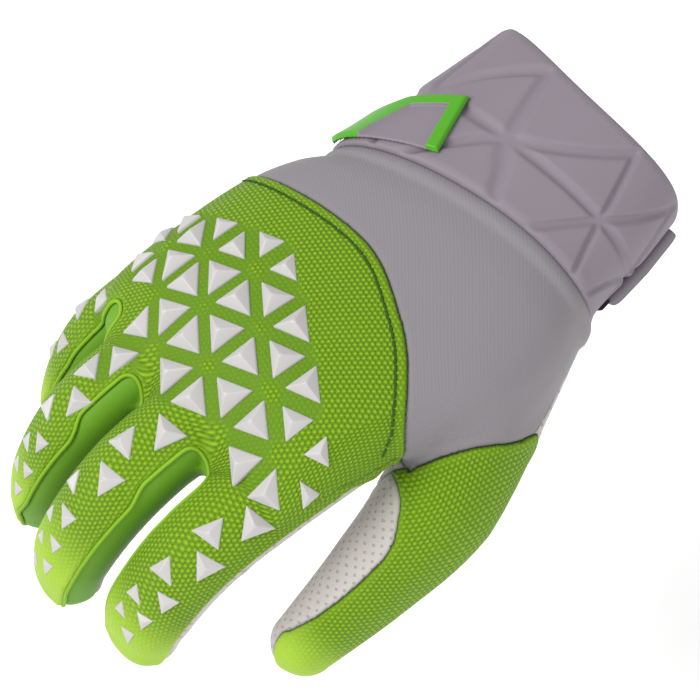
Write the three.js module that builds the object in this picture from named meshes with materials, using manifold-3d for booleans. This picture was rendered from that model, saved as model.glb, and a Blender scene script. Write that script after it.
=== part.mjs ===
// Motocross glove, right hand, in millimetres.
// The origin is the centre of the wrist opening. +Y runs towards the fingertips, +Z is the back
// of the hand and -X is the thumb side. The glove keeps the curl of a relaxed hand.
import * as THREE from 'three';
import { mergeVertices } from 'three/addons/utils/BufferGeometryUtils.js';
import Module from 'manifold-3d';

const wasm = await Module();
wasm.setup();

// Walls and seams
const fabricWall = 1.6;
const seamGap = 0.3;
const cuffWall = 2.4;
const cuffRelief = 0.7;
const strapWall = 2.2;
const patchWall = 0.9;

// Hand, from the wrist opening to the webs between the fingers
const handLength = 150;
const handWidth = 102;
const handDepth = 46;
const cuffLength = 45;
const fabricStart = 37;

// Digits: the length from knuckle to fingertip and the widest width and depth of each
const indexLength = 97;
const middleLength = 102;
const ringLength = 93;
const littleLength = 72;
const thumbLength = 127;
const fingerWidth = 25.2;
const fingerDepth = 22.8;
const thumbWidth = 40;
const thumbDepth = 34;

// Raised studs
const studSide = 11.2;
const studHeight = 2.8;
const studTip = 0.16;

// Badge and strap
const badgeRise = 2.0;
const badgeField = 1.0;
const badgeRim = 2.6;
const strapWidth = 30;
const strapStart = 4;
const strapFold = 7;

// How finely the curved forms are faceted
const handSides = 24;
const handSteps = 11;
const digitSides = 10;
const cuffSides = 45;
const cuffSteps = 9;
const handRoundness = 2.45;
const digitRoundness = 2.35;

const degrees = Math.PI / 180;

// The hand's sections. Lengths along are shares of handLength, centre and half of handWidth,
// rise, fall and tilt of handDepth. Tilt drops the little finger's side, slant leans the section
// forward on that side, and bow brings both its sides forward.
const handSections = [
  { along: -0.04, centre: 0, half: 0.335, rise: 0.46, fall: 0.46, tilt: 0, slant: -0.1, bow: -0.25 },
  { along: 0, centre: 0, half: 0.341, rise: 0.463, fall: 0.463, tilt: 0, slant: -0.1, bow: -0.25 },
  { along: 0.14, centre: 0.01, half: 0.376, rise: 0.467, fall: 0.463, tilt: 0, slant: 0, bow: 0 },
  { along: 0.29, centre: 0.034, half: 0.412, rise: 0.485, fall: 0.455, tilt: 0, slant: 0.14, bow: 0.23 },
  { along: 0.4, centre: 0.042, half: 0.49, rise: 0.53, fall: 0.45, tilt: 0, slant: 0.08, bow: 0.12 },
  { along: 0.53, centre: 0.07, half: 0.52, rise: 0.545, fall: 0.43, tilt: 0.02, slant: 0, bow: 0 },
  { along: 0.665, centre: 0.13, half: 0.512, rise: 0.54, fall: 0.36, tilt: 0.07, slant: 0, bow: 0 },
  { along: 0.8, centre: 0.187, half: 0.494, rise: 0.48, fall: 0.3, tilt: 0.14, slant: 0, bow: 0 },
  { along: 0.89, centre: 0.205, half: 0.474, rise: 0.37, fall: 0.27, tilt: 0.16, slant: -0.04, bow: 0 },
  { along: 0.955, centre: 0.178, half: 0.42, rise: 0.25, fall: 0.24, tilt: 0.13, slant: -0.06, bow: 0 },
  { along: 0.99, centre: 0.13, half: 0.34, rise: 0.13, fall: 0.16, tilt: 0.08, slant: -0.06, bow: 0 },
  { along: 1.01, centre: 0.12, half: 0.25, rise: 0.04, fall: 0.06, tilt: 0.05, slant: -0.06, bow: 0 },
];

// The digits. Each has its knuckle (shares of handWidth, handLength and handDepth), its roll
// towards the little finger's side, and a row for each bone: how far it turns sideways and bends
// down, its share of the length, and the shares of the width and depth at its far end.
const digits = {
  index: {
    length: indexLength, width: fingerWidth, depth: fingerDepth, roll: -4,
    knuckle: { across: -0.184, along: 0.787, up: 0.080, width: 1.04, depth: 1.04 },
    bones: [
      { yaw: 13, pitch: 13, share: 0.49, width: 1.04, depth: 1.04 },
      { yaw: 13, pitch: 41, share: 0.325, width: 0.98, depth: 0.93 },
      { yaw: 12, pitch: 63, share: 0.105, width: 0.88, depth: 0.82 },
    ],
  },
  middle: {
    length: middleLength, width: fingerWidth, depth: fingerDepth, roll: 3,
    knuckle: { across: 0.118, along: 0.787, up: 0.152, width: 1.0, depth: 1.0 },
    bones: [
      { yaw: 11.5, pitch: 14, share: 0.49, width: 1.0, depth: 1.0 },
      { yaw: 13, pitch: 43, share: 0.33, width: 0.95, depth: 0.88 },
      { yaw: 12, pitch: 66, share: 0.105, width: 0.88, depth: 0.80 },
    ],
  },
  ring: {
    length: ringLength, width: fingerWidth, depth: fingerDepth, roll: 14,
    knuckle: { across: 0.372, along: 0.787, up: 0.022, width: 0.95, depth: 0.96 },
    bones: [
      { yaw: 14, pitch: 17, share: 0.49, width: 0.95, depth: 0.96 },
      { yaw: 15, pitch: 49, share: 0.325, width: 0.90, depth: 0.85 },
      { yaw: 12, pitch: 70, share: 0.105, width: 0.84, depth: 0.78 },
    ],
  },
  little: {
    length: littleLength, width: fingerWidth, depth: fingerDepth, roll: 28,
    knuckle: { across: 0.572, along: 0.720, up: -0.152, width: 0.85, depth: 0.88 },
    bones: [
      { yaw: 17, pitch: 23, share: 0.50, width: 0.84, depth: 0.86 },
      { yaw: 13, pitch: 50, share: 0.30, width: 0.79, depth: 0.77 },
      { yaw: 8, pitch: 70, share: 0.10, width: 0.74, depth: 0.70 },
    ],
  },
  thumb: {
    length: thumbLength, width: thumbWidth, depth: thumbDepth, roll: -72,
    knuckle: { across: -0.255, along: 0.333, up: -0.174, width: 0.88, depth: 0.90 },
    bones: [
      { yaw: -16, pitch: 12, share: 0.490, width: 0.84, depth: 0.98 },
      { yaw: 2, pitch: 20, share: 0.225, width: 0.64, depth: 0.78 },
      { yaw: 8, pitch: 22, share: 0.225, width: 0.48, depth: 0.54 },
    ],
  },
};

// Slots between the fingers: the end of each slot, as shares of handWidth and handLength, its
// half-width, and the height below which the palm's leather takes over.
const slots = {
  index_middle: { sides: ['index', 'middle'], across: 0.050, along: 0.968, half: 4.0, floor: -0.04 },
  middle_ring: { sides: ['middle', 'ring'], across: 0.325, along: 0.955, half: 3.8, floor: -0.12 },
  ring_little: { sides: ['ring', 'little'], across: 0.575, along: 0.865, half: 3.4, floor: -0.32 },
};
const slotReach = 12;
const slotLean = 2.5;
const sideFrom = 52;
const sideTo = 122;

// The seam between the stretch panel and the knuckle mesh, across the back of the hand, and the
// seam of the thumb's mesh, as shares of handWidth and handLength.
const backSeam = [
  { across: 0.80, along: 0.545 },
  { across: 0.44, along: 0.518 },
  { across: 0.19, along: 0.507 },
  { across: 0.04, along: 0.521 },
  { across: -0.11, along: 0.573 },
  { across: -0.222, along: 0.630 },
  { across: -0.332, along: 0.712 },
  { across: -0.368, along: 0.778 },
];
const thumbSeam = [
  { across: -0.318, along: 0.800 },
  { across: -0.363, along: 0.778 },
  { across: -0.412, along: 0.690 },
  { across: -0.450, along: 0.630 },
  { across: -0.506, along: 0.551 },
  { across: -0.495, along: 0.415 },
];
const backEdgeRadial = -100;
const backEdgeUlnar = 98;
const thumbMeshFrom = -82;
const thumbMeshTo = 78;

// A smooth value between the rows of a table whose first column is the length along.
function between(rows, along, column) {
  let low = 0;
  while (low < rows.length - 2 && rows[low + 1].along < along) {
    low += 1;
  }
  const [a, b] = [rows[low], rows[low + 1]];
  const before = rows[Math.max(low - 1, 0)];
  const after = rows[Math.min(low + 2, rows.length - 1)];
  const span = b.along - a.along;
  const t = Math.min(Math.max((along - a.along) / span, 0), 1);
  const slopeA = (b[column] - before[column]) / (b.along - before.along) * span;
  const slopeB = (after[column] - a[column]) / (after.along - a.along) * span;
  const t2 = t * t;
  const t3 = t2 * t;
  return (2 * t3 - 3 * t2 + 1) * a[column] + (t3 - 2 * t2 + t) * slopeA
    + (3 * t2 - 2 * t3) * b[column] + (t3 - t2) * slopeB;
}

// A point of a rounded box section at an angle from its top, positive towards the little finger.
function roundedBox(angle, roundness) {
  const s = Math.sin(angle * degrees);
  const c = Math.cos(angle * degrees);
  return {
    side: Math.sign(s) * Math.abs(s) ** (2 / roundness),
    top: Math.sign(c) * Math.abs(c) ** (2 / roundness),
  };
}

// A point on the hand's surface, lifted off it. Along is in millimetres.
function handPoint(along, angle, lift) {
  const share = along / handLength;
  const value = (column) => between(handSections, share, column);
  const { side, top } = roundedBox(angle, handRoundness);
  const half = value('half') * handWidth + lift;
  const height = value(top > 0 ? 'rise' : 'fall') * handDepth + lift;
  const x = value('centre') * handWidth + half * side;
  const z = height * top - value('tilt') * handDepth * side;
  const y = along + value('slant') * x + value('bow') * x * x / handWidth;
  return new THREE.Vector3(x, y, z);
}

// A closed body through rings of the same number of points, its ends closed by fans.
function loft(rings) {
  const positions = [];
  const faces = [];
  const count = rings[0].length;
  rings.forEach((ring) => ring.forEach((point) => positions.push(point.x, point.y, point.z)));
  for (let r = 0; r + 1 < rings.length; r += 1) {
    for (let i = 0; i < count; i += 1) {
      const j = (i + 1) % count;
      const [a, b, c, d] = [r * count + i, r * count + j, (r + 1) * count + j, (r + 1) * count + i];
      faces.push(a, b, c, a, c, d);
    }
  }
  const closeEnd = (ringIndex, flip) => {
    const middle = new THREE.Vector3();
    rings[ringIndex].forEach((point) => middle.add(point));
    middle.divideScalar(count);
    const centre = positions.length / 3;
    positions.push(middle.x, middle.y, middle.z);
    for (let i = 0; i < count; i += 1) {
      const j = (i + 1) % count;
      const [a, b] = [ringIndex * count + i, ringIndex * count + j];
      faces.push(...(flip ? [centre, b, a] : [centre, a, b]));
    }
  };
  closeEnd(0, true);
  closeEnd(rings.length - 1, false);
  const geometry = new THREE.BufferGeometry();
  geometry.setAttribute('position', new THREE.Float32BufferAttribute(positions, 3));
  geometry.setIndex(faces);
  return geometry;
}

// Geometry to a solid that can be joined and cut, and back.
function solidOf(geometry) {
  const bare = geometry.clone();
  bare.deleteAttribute('normal');
  bare.deleteAttribute('uv');
  const merged = mergeVertices(bare, 1e-4);
  const mesh = new wasm.Mesh({
    numProp: 3,
    vertProperties: new Float32Array(merged.attributes.position.array),
    triVerts: new Uint32Array(merged.index.array),
  });
  const solid = new wasm.Manifold(mesh);
  return solid.volume() < 0 ? solidOf(turnedInsideOut(geometry)) : solid;
}

function turnedInsideOut(geometry) {
  const flipped = geometry.clone();
  const index = flipped.index.array;
  for (let i = 0; i < index.length; i += 3) {
    [index[i + 1], index[i + 2]] = [index[i + 2], index[i + 1]];
  }
  return flipped;
}

function geometryOf(solid) {
  const mesh = solid.getMesh();
  const geometry = new THREE.BufferGeometry();
  geometry.setAttribute('position', new THREE.Float32BufferAttribute(mesh.vertProperties, 3));
  geometry.setIndex(Array.from(mesh.triVerts));
  return geometry;
}

const joined = (solids) => solids.reduce((whole, solid) => whole.add(solid));

// The largest body of a solid, without the crumbs that a cut can leave.
function largest(solid) {
  const bodies = solid.decompose();
  return bodies.reduce((best, body) => (body.volume() > best.volume() ? body : best));
}

// A prism over a plan outline, between two heights.
function prism(outline, low, high) {
  const shape = new THREE.Shape(outline);
  const geometry = new THREE.ExtrudeGeometry(shape, { depth: high - low, bevelEnabled: false });
  geometry.translate(0, 0, low);
  return solidOf(geometry);
}

// An outline with each side moved outwards, for the gap along a seam.
function widened(outline, extra) {
  const turn = Math.sign(THREE.ShapeUtils.area(outline));
  return outline.map((point, i) => {
    const before = outline[(i + outline.length - 1) % outline.length];
    const after = outline[(i + 1) % outline.length];
    const one = point.clone().sub(before).normalize();
    const two = after.clone().sub(point).normalize();
    const share = (turn * extra) / Math.max(0.2, 1 + one.dot(two));
    return new THREE.Vector2(
      point.x + (one.y + two.y) * share,
      point.y - (one.x + two.x) * share,
    );
  });
}

const planPoint = ({ across, along }) => new THREE.Vector2(across * handWidth, along * handLength);

// The path of a digit: its centre, its half-width and half-depth, and its frame at each station.
function digitPath(digit, steps = [2, 3, 1]) {
  const at = new THREE.Vector3(
    digit.knuckle.across * handWidth,
    digit.knuckle.along * handLength,
    digit.knuckle.up * handDepth,
  );
  const joints = [at.clone()];
  const sizes = [[digit.knuckle.width, digit.knuckle.depth]];
  digit.bones.forEach((bone) => {
    const reach = bone.share * digit.length;
    const flat = Math.cos(bone.pitch * degrees) * reach;
    at.x += Math.sin(bone.yaw * degrees) * flat;
    at.y += Math.cos(bone.yaw * degrees) * flat;
    at.z -= Math.sin(bone.pitch * degrees) * reach;
    joints.push(at.clone());
    sizes.push([bone.width, bone.depth]);
  });
  const curve = new THREE.CatmullRomCurve3(joints, false, 'centripetal');
  const bones = digit.bones.length;
  const stations = [];
  const addStation = (bone, t) => {
    const u = (bone + t) / bones;
    const [from, to] = [sizes[bone], sizes[Math.min(bone + 1, bones)]];
    stations.push({
      centre: curve.getPoint(u),
      along: curve.getTangent(u),
      half: digit.width / 2 * (from[0] + (to[0] - from[0]) * t),
      deep: digit.depth / 2 * (from[1] + (to[1] - from[1]) * t),
    });
  };
  for (let bone = 0; bone < bones; bone += 1) {
    for (let step = 0; step < steps[bone]; step += 1) {
      addStation(bone, step / steps[bone]);
    }
  }
  addStation(bones - 1, 1);
  const rolled = new THREE.Vector3(Math.sin(digit.roll * degrees), 0, Math.cos(digit.roll * degrees));
  stations.forEach((station) => {
    const forward = rolled.dot(station.along);
    station.up = rolled.clone().addScaledVector(station.along, -forward).normalize();
    station.side = new THREE.Vector3().crossVectors(station.along, station.up);
  });
  return stations;
}

function digitPoint(station, angle, lift, spread = 1) {
  const { side, top } = roundedBox(angle, digitRoundness);
  return station.centre.clone()
    .addScaledVector(station.side, (station.half + lift) * side * spread)
    .addScaledVector(station.up, (station.deep + lift) * top * spread);
}

// The rounded end of a digit, as further stations that shrink to the tip.
function roundedEnd(stations, lift) {
  const last = stations[stations.length - 1];
  const reach = (last.half + last.deep) / 2 + lift;
  return [38, 74].map((turn) => ({
    ...last,
    centre: last.centre.clone().addScaledVector(last.along, reach * Math.sin(turn * degrees)),
    half: (last.half + lift) * Math.cos(turn * degrees) - lift,
    deep: (last.deep + lift) * Math.cos(turn * degrees) - lift,
  }));
}

function digitSolid(digit, lift) {
  const stations = digitPath(digit);
  const whole = [...stations, ...roundedEnd(stations, lift)];
  const rings = whole.map((station) => Array.from(
    { length: digitSides },
    (_, i) => digitPoint(station, (i / digitSides) * 360, lift),
  ));
  return solidOf(loft(rings));
}

// The part of a digit's space between two angles, from a station on, for cutting its panels.
function digitWedge(digit, from, to, extra, firstStation = 0, spread = 1.5) {
  const stations = digitPath(digit).slice(firstStation);
  const first = stations[0];
  first.centre = first.centre.clone().addScaledVector(first.along, -extra);
  const whole = [...stations];
  const last = stations[stations.length - 1];
  const beyond = last.half * 2 + extra;
  whole.push({ ...last, centre: last.centre.clone().addScaledVector(last.along, beyond) });
  const wedgeSteps = Math.max(2, Math.round((to - from) / 30));
  const rings = whole.map((station) => {
    const more = (extra / station.half) / degrees;
    const [low, high] = [from - more, to + more];
    const arc = Array.from(
      { length: wedgeSteps + 1 },
      (_, i) => digitPoint(station, low + ((high - low) * i) / wedgeSteps, extra, spread),
    );
    const outward = digitPoint(station, (from + to) / 2, 0).sub(station.centre).normalize();
    return [station.centre.clone().addScaledVector(outward, -extra), ...arc];
  });
  return solidOf(loft(rings));
}

// The hand's space, whole or between two angles.
function handSolid(from, to, lift, stations = handSteps, inset = 0) {
  const rings = [];
  for (let r = 0; r <= stations; r += 1) {
    const along = from + ((to - from) * r) / stations;
    const ring = Array.from(
      { length: handSides },
      (_, i) => handPoint(along, (i / handSides) * 360, lift),
    );
    const forward = Math.max(0, (along / handLength - 0.9) / 0.1) * inset;
    ring.forEach((point) => point.setY(point.y - forward));
    rings.push(ring);
  }
  return solidOf(loft(rings));
}

const handWedgeLift = 14;

function handWedge(fromAngle, toAngle, extra, from, to) {
  const rings = [];
  const steps = 10;
  const more = (extra / (handWidth / 2)) / degrees;
  const [low, high] = [fromAngle - more, toAngle + more];
  for (let r = 0; r <= 12; r += 1) {
    const along = from + ((to - from) * r) / 12;
    const section = handPoint(along, 90, 0).add(handPoint(along, -90, 0)).multiplyScalar(0.5);
    const arc = Array.from(
      { length: steps + 1 },
      (_, i) => handPoint(along, low + ((high - low) * i) / steps, handWedgeLift + extra),
    );
    rings.push([section, ...arc]);
  }
  return solidOf(loft(rings));
}

// The whole fabric hand as one shell, open at the wrist.
const handEnd = handSections[handSections.length - 1].along * handLength;
const allDigits = Object.values(digits);
const fingers = [digits.index, digits.middle, digits.ring, digits.little];
const outerHand = joined([
  handSolid(fabricStart, handEnd, 0),
  ...allDigits.map((digit) => digitSolid(digit, 0)),
]);
const innerHand = joined([
  handSolid(fabricStart - 6, handEnd, -fabricWall, handSteps, fabricWall),
  ...allDigits.map((digit) => digitSolid(digit, -fabricWall)),
]);
const shell = outerHand.subtract(innerHand);

// The regions that split the shell into its sewn panels. Each takes the extra that leaves the
// gap of a seam round it.
function slotRegion(slot, extra) {
  const [first, second] = slot.sides.map((name) => digits[name]);
  const centre = planPoint(slot);
  const half = slot.half + extra;
  const outline = Array.from({ length: 9 }, (_, i) => {
    const turn = (180 + (i * 180) / 8) * degrees;
    return new THREE.Vector2(centre.x + half * Math.cos(turn), centre.y + half * Math.sin(turn));
  });
  const end = centre.y + slotReach + extra;
  outline.push(new THREE.Vector2(centre.x + half + slotLean, end));
  outline.push(new THREE.Vector2(centre.x - half + slotLean, end));
  const floor = slot.floor * handDepth - extra;
  return joined([
    prism(outline, floor, handDepth),
    digitWedge(first, sideFrom, sideTo, extra, 1, 1.2),
    digitWedge(second, -sideTo, -sideFrom, extra, 1, 1.2),
  ]);
}

function backRegion(extra) {
  return joined([
    handWedge(backEdgeRadial, backEdgeUlnar, extra, 0, handEnd + 4),
    digitWedge(digits.index, backEdgeRadial, 90, extra, 1),
    digitWedge(digits.middle, -90, 90, extra, 1),
    digitWedge(digits.ring, -90, 90, extra, 1),
    digitWedge(digits.little, -90, backEdgeUlnar - 4, extra, 1),
  ]);
}

function stretchRegion(extra) {
  const seam = new THREE.SplineCurve(backSeam.map(planPoint)).getPoints(20);
  const outline = [
    ...seam,
    new THREE.Vector2(-handWidth, 0.778 * handLength),
    new THREE.Vector2(-handWidth, 0),
    new THREE.Vector2(handWidth, 0),
    new THREE.Vector2(handWidth, 0.56 * handLength),
  ];
  return prism(widened(outline, extra), -handDepth * 2, handDepth * 2);
}

function thumbRegion(extra) {
  const seam = thumbSeam.map(planPoint);
  const outline = [
    ...seam,
    new THREE.Vector2(-handWidth, 0.415 * handLength),
    new THREE.Vector2(-handWidth, 0.80 * handLength),
  ];
  const under = [
    new THREE.Vector2(-handWidth, 0.79 * handLength),
    new THREE.Vector2(-0.21 * handWidth, 0.79 * handLength),
    new THREE.Vector2(-0.21 * handWidth, handLength * 1.3),
    new THREE.Vector2(-handWidth, handLength * 1.3),
  ];
  return joined([
    prism(widened(outline, extra), -handDepth * 2, handDepth * 2),
    prism(widened(under, extra), -handDepth * 2, -0.19 * handDepth + extra),
  ]);
}

// Sewn panels
const slotNames = Object.keys(slots);
const slotRegions = (extra) => joined(slotNames.map((name) => slotRegion(slots[name], extra)));
const thumbShell = shell.intersect(thumbRegion(0));
const thumbMesh = (extra) => digitWedge(digits.thumb, thumbMeshFrom, thumbMeshTo, extra, 0, 2.2);
const handShell = shell.subtract(thumbRegion(seamGap)).subtract(slotRegions(seamGap));
const backShell = handShell.intersect(backRegion(0));
const palmShell = handShell.subtract(backRegion(seamGap)).subtract(backShell);
const webShell = shell.subtract(thumbRegion(seamGap)).subtract(backShell).subtract(palmShell);

const panels = {
  back_panel: backShell.subtract(stretchRegion(seamGap)),
  hand_panel: backShell.intersect(stretchRegion(0)),
  palm_panel: palmShell,
  thumb_panel: thumbShell.intersect(thumbMesh(0)),
  thumb_front: thumbShell.subtract(thumbMesh(seamGap)).subtract(thumbShell.intersect(thumbMesh(0))),
};
slotNames.forEach((name) => {
  panels[`gusset_${name}`] = webShell.intersect(slotRegion(slots[name], 0));
});

// Materials
const finish = (color, roughness, metalness = 0) => (
  new THREE.MeshStandardMaterial({ color, roughness, metalness })
);
const materials = {
  mesh: finish(0x7fb533, 0.85),
  gusset: finish(0x4c8a1e, 0.85),
  stretch: finish(0x9f99a1, 0.9),
  suede: finish(0xc6c1bb, 0.9),
  cuff: finish(0x9a909c, 0.8),
  stud: finish(0xd2d2d2, 0.5),
  badge: finish(0x5fbf35, 0.45),
  hook: finish(0x15120f, 0.9),
};
const panelMaterials = {
  back_panel: 'mesh',
  thumb_panel: 'mesh',
  hand_panel: 'stretch',
  palm_panel: 'suede',
  thumb_front: 'suede',
};

const glove = new THREE.Group();

function addPiece(name, solid, material) {
  const whole = solidOf(mergeVertices(geometryOf(largest(solid)), 1e-3));
  const geometry = geometryOf(largest(whole));
  geometry.computeVertexNormals();
  const piece = new THREE.Mesh(geometry, materials[material].clone());
  piece.name = name;
  glove.add(piece);
  return piece;
}

// Cuff: a moulded band over the end of the fabric hand, pressed into triangles by a lattice of
// grooves. The lattice's knots are in degrees round the cuff and shares of its length.
const cuffKnotTurn = 48;
const cuffKnots = { middle: { turn: 2, along: 0.58 }, wrist: { turn: 12, along: 0.08 } };
const cuffFarKnot = { turn: -15, along: 1.2 };
const grooveWidth = 2.4;
const cuffTurnLength = 0.75;

function cuffLines() {
  const lines = [];
  for (let k = -4; k <= 4; k += 1) {
    const knot = (base, shift) => ({ turn: base.turn + (k + shift) * cuffKnotTurn, along: base.along });
    const here = knot(cuffKnots.middle, 0);
    lines.push([here, knot(cuffKnots.middle, 1)]);
    lines.push([here, knot(cuffKnots.wrist, 0)]);
    lines.push([here, knot(cuffKnots.wrist, -1)]);
    lines.push([here, knot(cuffFarKnot, 0)]);
    lines.push([here, knot(cuffFarKnot, 1)]);
  }
  return lines;
}
const grooves = cuffLines();

function cuffLift(along, turn) {
  const flat = ({ turn: t, along: a }) => new THREE.Vector2(t * cuffTurnLength, a * cuffLength);
  const here = new THREE.Vector2(turn * cuffTurnLength, along);
  const nearest = Math.min(...grooves.map(([from, to]) => {
    const start = flat(from);
    const reach = flat(to).sub(start);
    const t = THREE.MathUtils.clamp(here.clone().sub(start).dot(reach) / reach.lengthSq(), 0, 1);
    return here.distanceTo(start.addScaledVector(reach, t));
  }));
  return cuffRelief * (1 - Math.exp(-((nearest / grooveWidth) ** 2)));
}

// A band round the wrist between two lengths and two angles, lifted off the hand's surface.
function band({ from, to, low, high, lift, sides, steps, relief = false }) {
  const whole = high - low >= 360;
  const rings = [];
  for (let r = 0; r <= steps; r += 1) {
    const along = from + ((to - from) * r) / steps;
    const ring = Array.from({ length: whole ? sides : sides + 1 }, (_, i) => {
      const turn = low + ((high - low) * i) / sides;
      return handPoint(along, turn, lift + (relief ? cuffLift(along, turn) : 0));
    });
    rings.push(ring);
  }
  return { rings, whole };
}

function bandSolid(outer, inner) {
  return solidOf(loft(outer.rings)).subtract(solidOf(loft(inner.rings)));
}

const round = { low: -180, high: 180 };
const cuffTop = seamGap + cuffWall;
const cuffOuter = band({
  ...round,
  from: 0,
  to: cuffLength,
  lift: cuffTop,
  sides: cuffSides,
  steps: cuffSteps,
  relief: true,
});
const cuffInner = band({
  ...round,
  from: -5,
  to: cuffLength + 5,
  lift: seamGap,
  sides: handSides,
  steps: 4,
});
addPiece('cuff', bandSolid(cuffOuter, cuffInner), 'cuff');

// Closure: a strap round the palm side of the cuff, folded thick at its thumb-side end, and the
// edge of the hook fabric that shows beside it. Both are slabs that follow the cuff.
const strapFrom = -258;
const strapTo = -106;
const patchWidth = 4;
const patchTurn = 60;
const foldSwell = 1.35;
const closureFloor = cuffTop + cuffRelief + seamGap;

function curvedSlab({ from, to, low, high, floor, lift, sides = 15, steps = 3 }) {
  const rings = [];
  for (let r = 0; r <= steps; r += 1) {
    const along = from + ((to - from) * r) / steps;
    const turns = Array.from({ length: sides + 1 }, (_, i) => low + ((high - low) * i) / sides);
    const upper = turns.map((turn) => handPoint(along, turn, lift));
    const lower = turns.map((turn) => handPoint(along, turn, floor)).reverse();
    rings.push([...upper, ...lower]);
  }
  return ringedSlab(rings);
}

// A slab's own ends are strips, because a fan would leave its bent outline.
function ringedSlab(rings) {
  const positions = [];
  const faces = [];
  const count = rings[0].length;
  const half = count / 2;
  rings.forEach((ring) => ring.forEach((point) => positions.push(point.x, point.y, point.z)));
  for (let r = 0; r + 1 < rings.length; r += 1) {
    for (let i = 0; i < count; i += 1) {
      const j = (i + 1) % count;
      const [a, b, c, d] = [r * count + i, r * count + j, (r + 1) * count + j, (r + 1) * count + i];
      faces.push(a, b, c, a, c, d);
    }
  }
  for (let i = 0; i + 1 < half; i += 1) {
    const [a, b, c, d] = [i, i + 1, count - 2 - i, count - 1 - i];
    const last = (rings.length - 1) * count;
    faces.push(a, c, b, a, d, c);
    faces.push(last + a, last + b, last + c, last + a, last + c, last + d);
  }
  const geometry = new THREE.BufferGeometry();
  geometry.setAttribute('position', new THREE.Float32BufferAttribute(positions, 3));
  geometry.setIndex(faces);
  return solidOf(geometry);
}

const strapSpan = { from: strapStart, to: strapStart + strapWidth, high: strapTo };
addPiece('hook_patch', curvedSlab({
  from: strapStart + strapWidth + seamGap,
  to: strapStart + strapWidth + seamGap + patchWidth,
  low: strapTo - patchTurn,
  high: strapTo,
  floor: closureFloor,
  lift: closureFloor + patchWall,
  sides: 6,
}), 'hook');
const strapBody = curvedSlab({
  ...strapSpan,
  low: strapFrom,
  floor: closureFloor,
  lift: closureFloor + strapWall,
});
const strapEdge = curvedSlab({
  ...strapSpan,
  low: strapTo - strapFold / cuffTurnLength,
  floor: closureFloor,
  lift: closureFloor + strapWall * foldSwell,
  sides: 3,
});
addPiece('closure_strap', strapBody.add(strapEdge), 'cuff');

// Badge: a moulded plate on the little finger's side of the cuff, with a raised frame round a
// lower field. Its outline is in shares of handWidth and handLength.
const badgeOutline = [
  { across: 0.515, along: 0.388 },
  { across: 0.439, along: 0.288 },
  { across: 0.360, along: 0.219 },
  { across: 0.279, along: 0.183 },
  { across: 0.215, along: 0.156 },
  { across: 0.150, along: 0.288 },
  { across: 0.255, along: 0.315 },
  { across: 0.349, along: 0.341 },
];

function badgeBand(lift) {
  return solidOf(loft(band({ ...round, from: 8, to: 62, lift, sides: 40, steps: 8 }).rings));
}

const badgePlan = badgeOutline.map(planPoint);
const badgeSeat = badgeBand(closureFloor);
const badgePrism = (inset) => prism(widened(badgePlan, -inset), 2, handDepth);
const badgeFrame = badgePrism(0).subtract(badgePrism(badgeRim))
  .intersect(badgeBand(closureFloor + badgeRise));
const badgePlate = badgePrism(badgeRim / 2)
  .intersect(badgeBand(closureFloor + badgeField));
addPiece('badge', badgeFrame.add(badgePlate).subtract(badgeSeat), 'badge');

// Studs: three-sided pyramids with a small flat tip. The knuckles hold a field of them, one in each
// triangle of a lattice that wraps round the hand. A lattice point is a sum of terms in its steps
// forward and aside, in shares of handWidth and handLength.
const fieldOrigin = { across: 0.146, along: 0.766 };
const fieldTerms = [
  { forward: 1, aside: 0, across: 0.0461, along: 0.1066 },
  { forward: 0, aside: 1, across: -0.1447, along: 0.0733 },
  { forward: 2, aside: 0, across: 0.0026, along: 0.0028 },
  { forward: 1, aside: 1, across: 0.0052, along: 0.0023 },
  { forward: 0, aside: 2, across: -0.0054, along: -0.0008 },
];

// The field's rows: how many steps forward each lies, its first half-step aside, and the size of
// each stud as a share of studSide.
const fieldRows = [
  { forward: -1, first: -3, sizes: [0.76, 0.76, 0.95, 1, 1, 1, 0.9, 0.76, 0.58] },
  { forward: 0, first: -5, sizes: [0.74, 0.82, 1, 1, 1, 1, 1, 1, 1, 1] },
  { forward: 1, first: -7, sizes: [0.7, 0.9, 1, 1, 1, 1, 1, 1] },
  { forward: 2, first: -8, sizes: [0.62, 0.7, 0.8] },
  { forward: 2, first: -4, sizes: [0.86, 0.9] },
  { forward: 3, first: -4, sizes: [0.82] },
];
const fieldWrap = 0.608 * handWidth;
const fieldCentre = 0.19 * handWidth;
const fieldFloor = -0.25 * handDepth;

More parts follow.
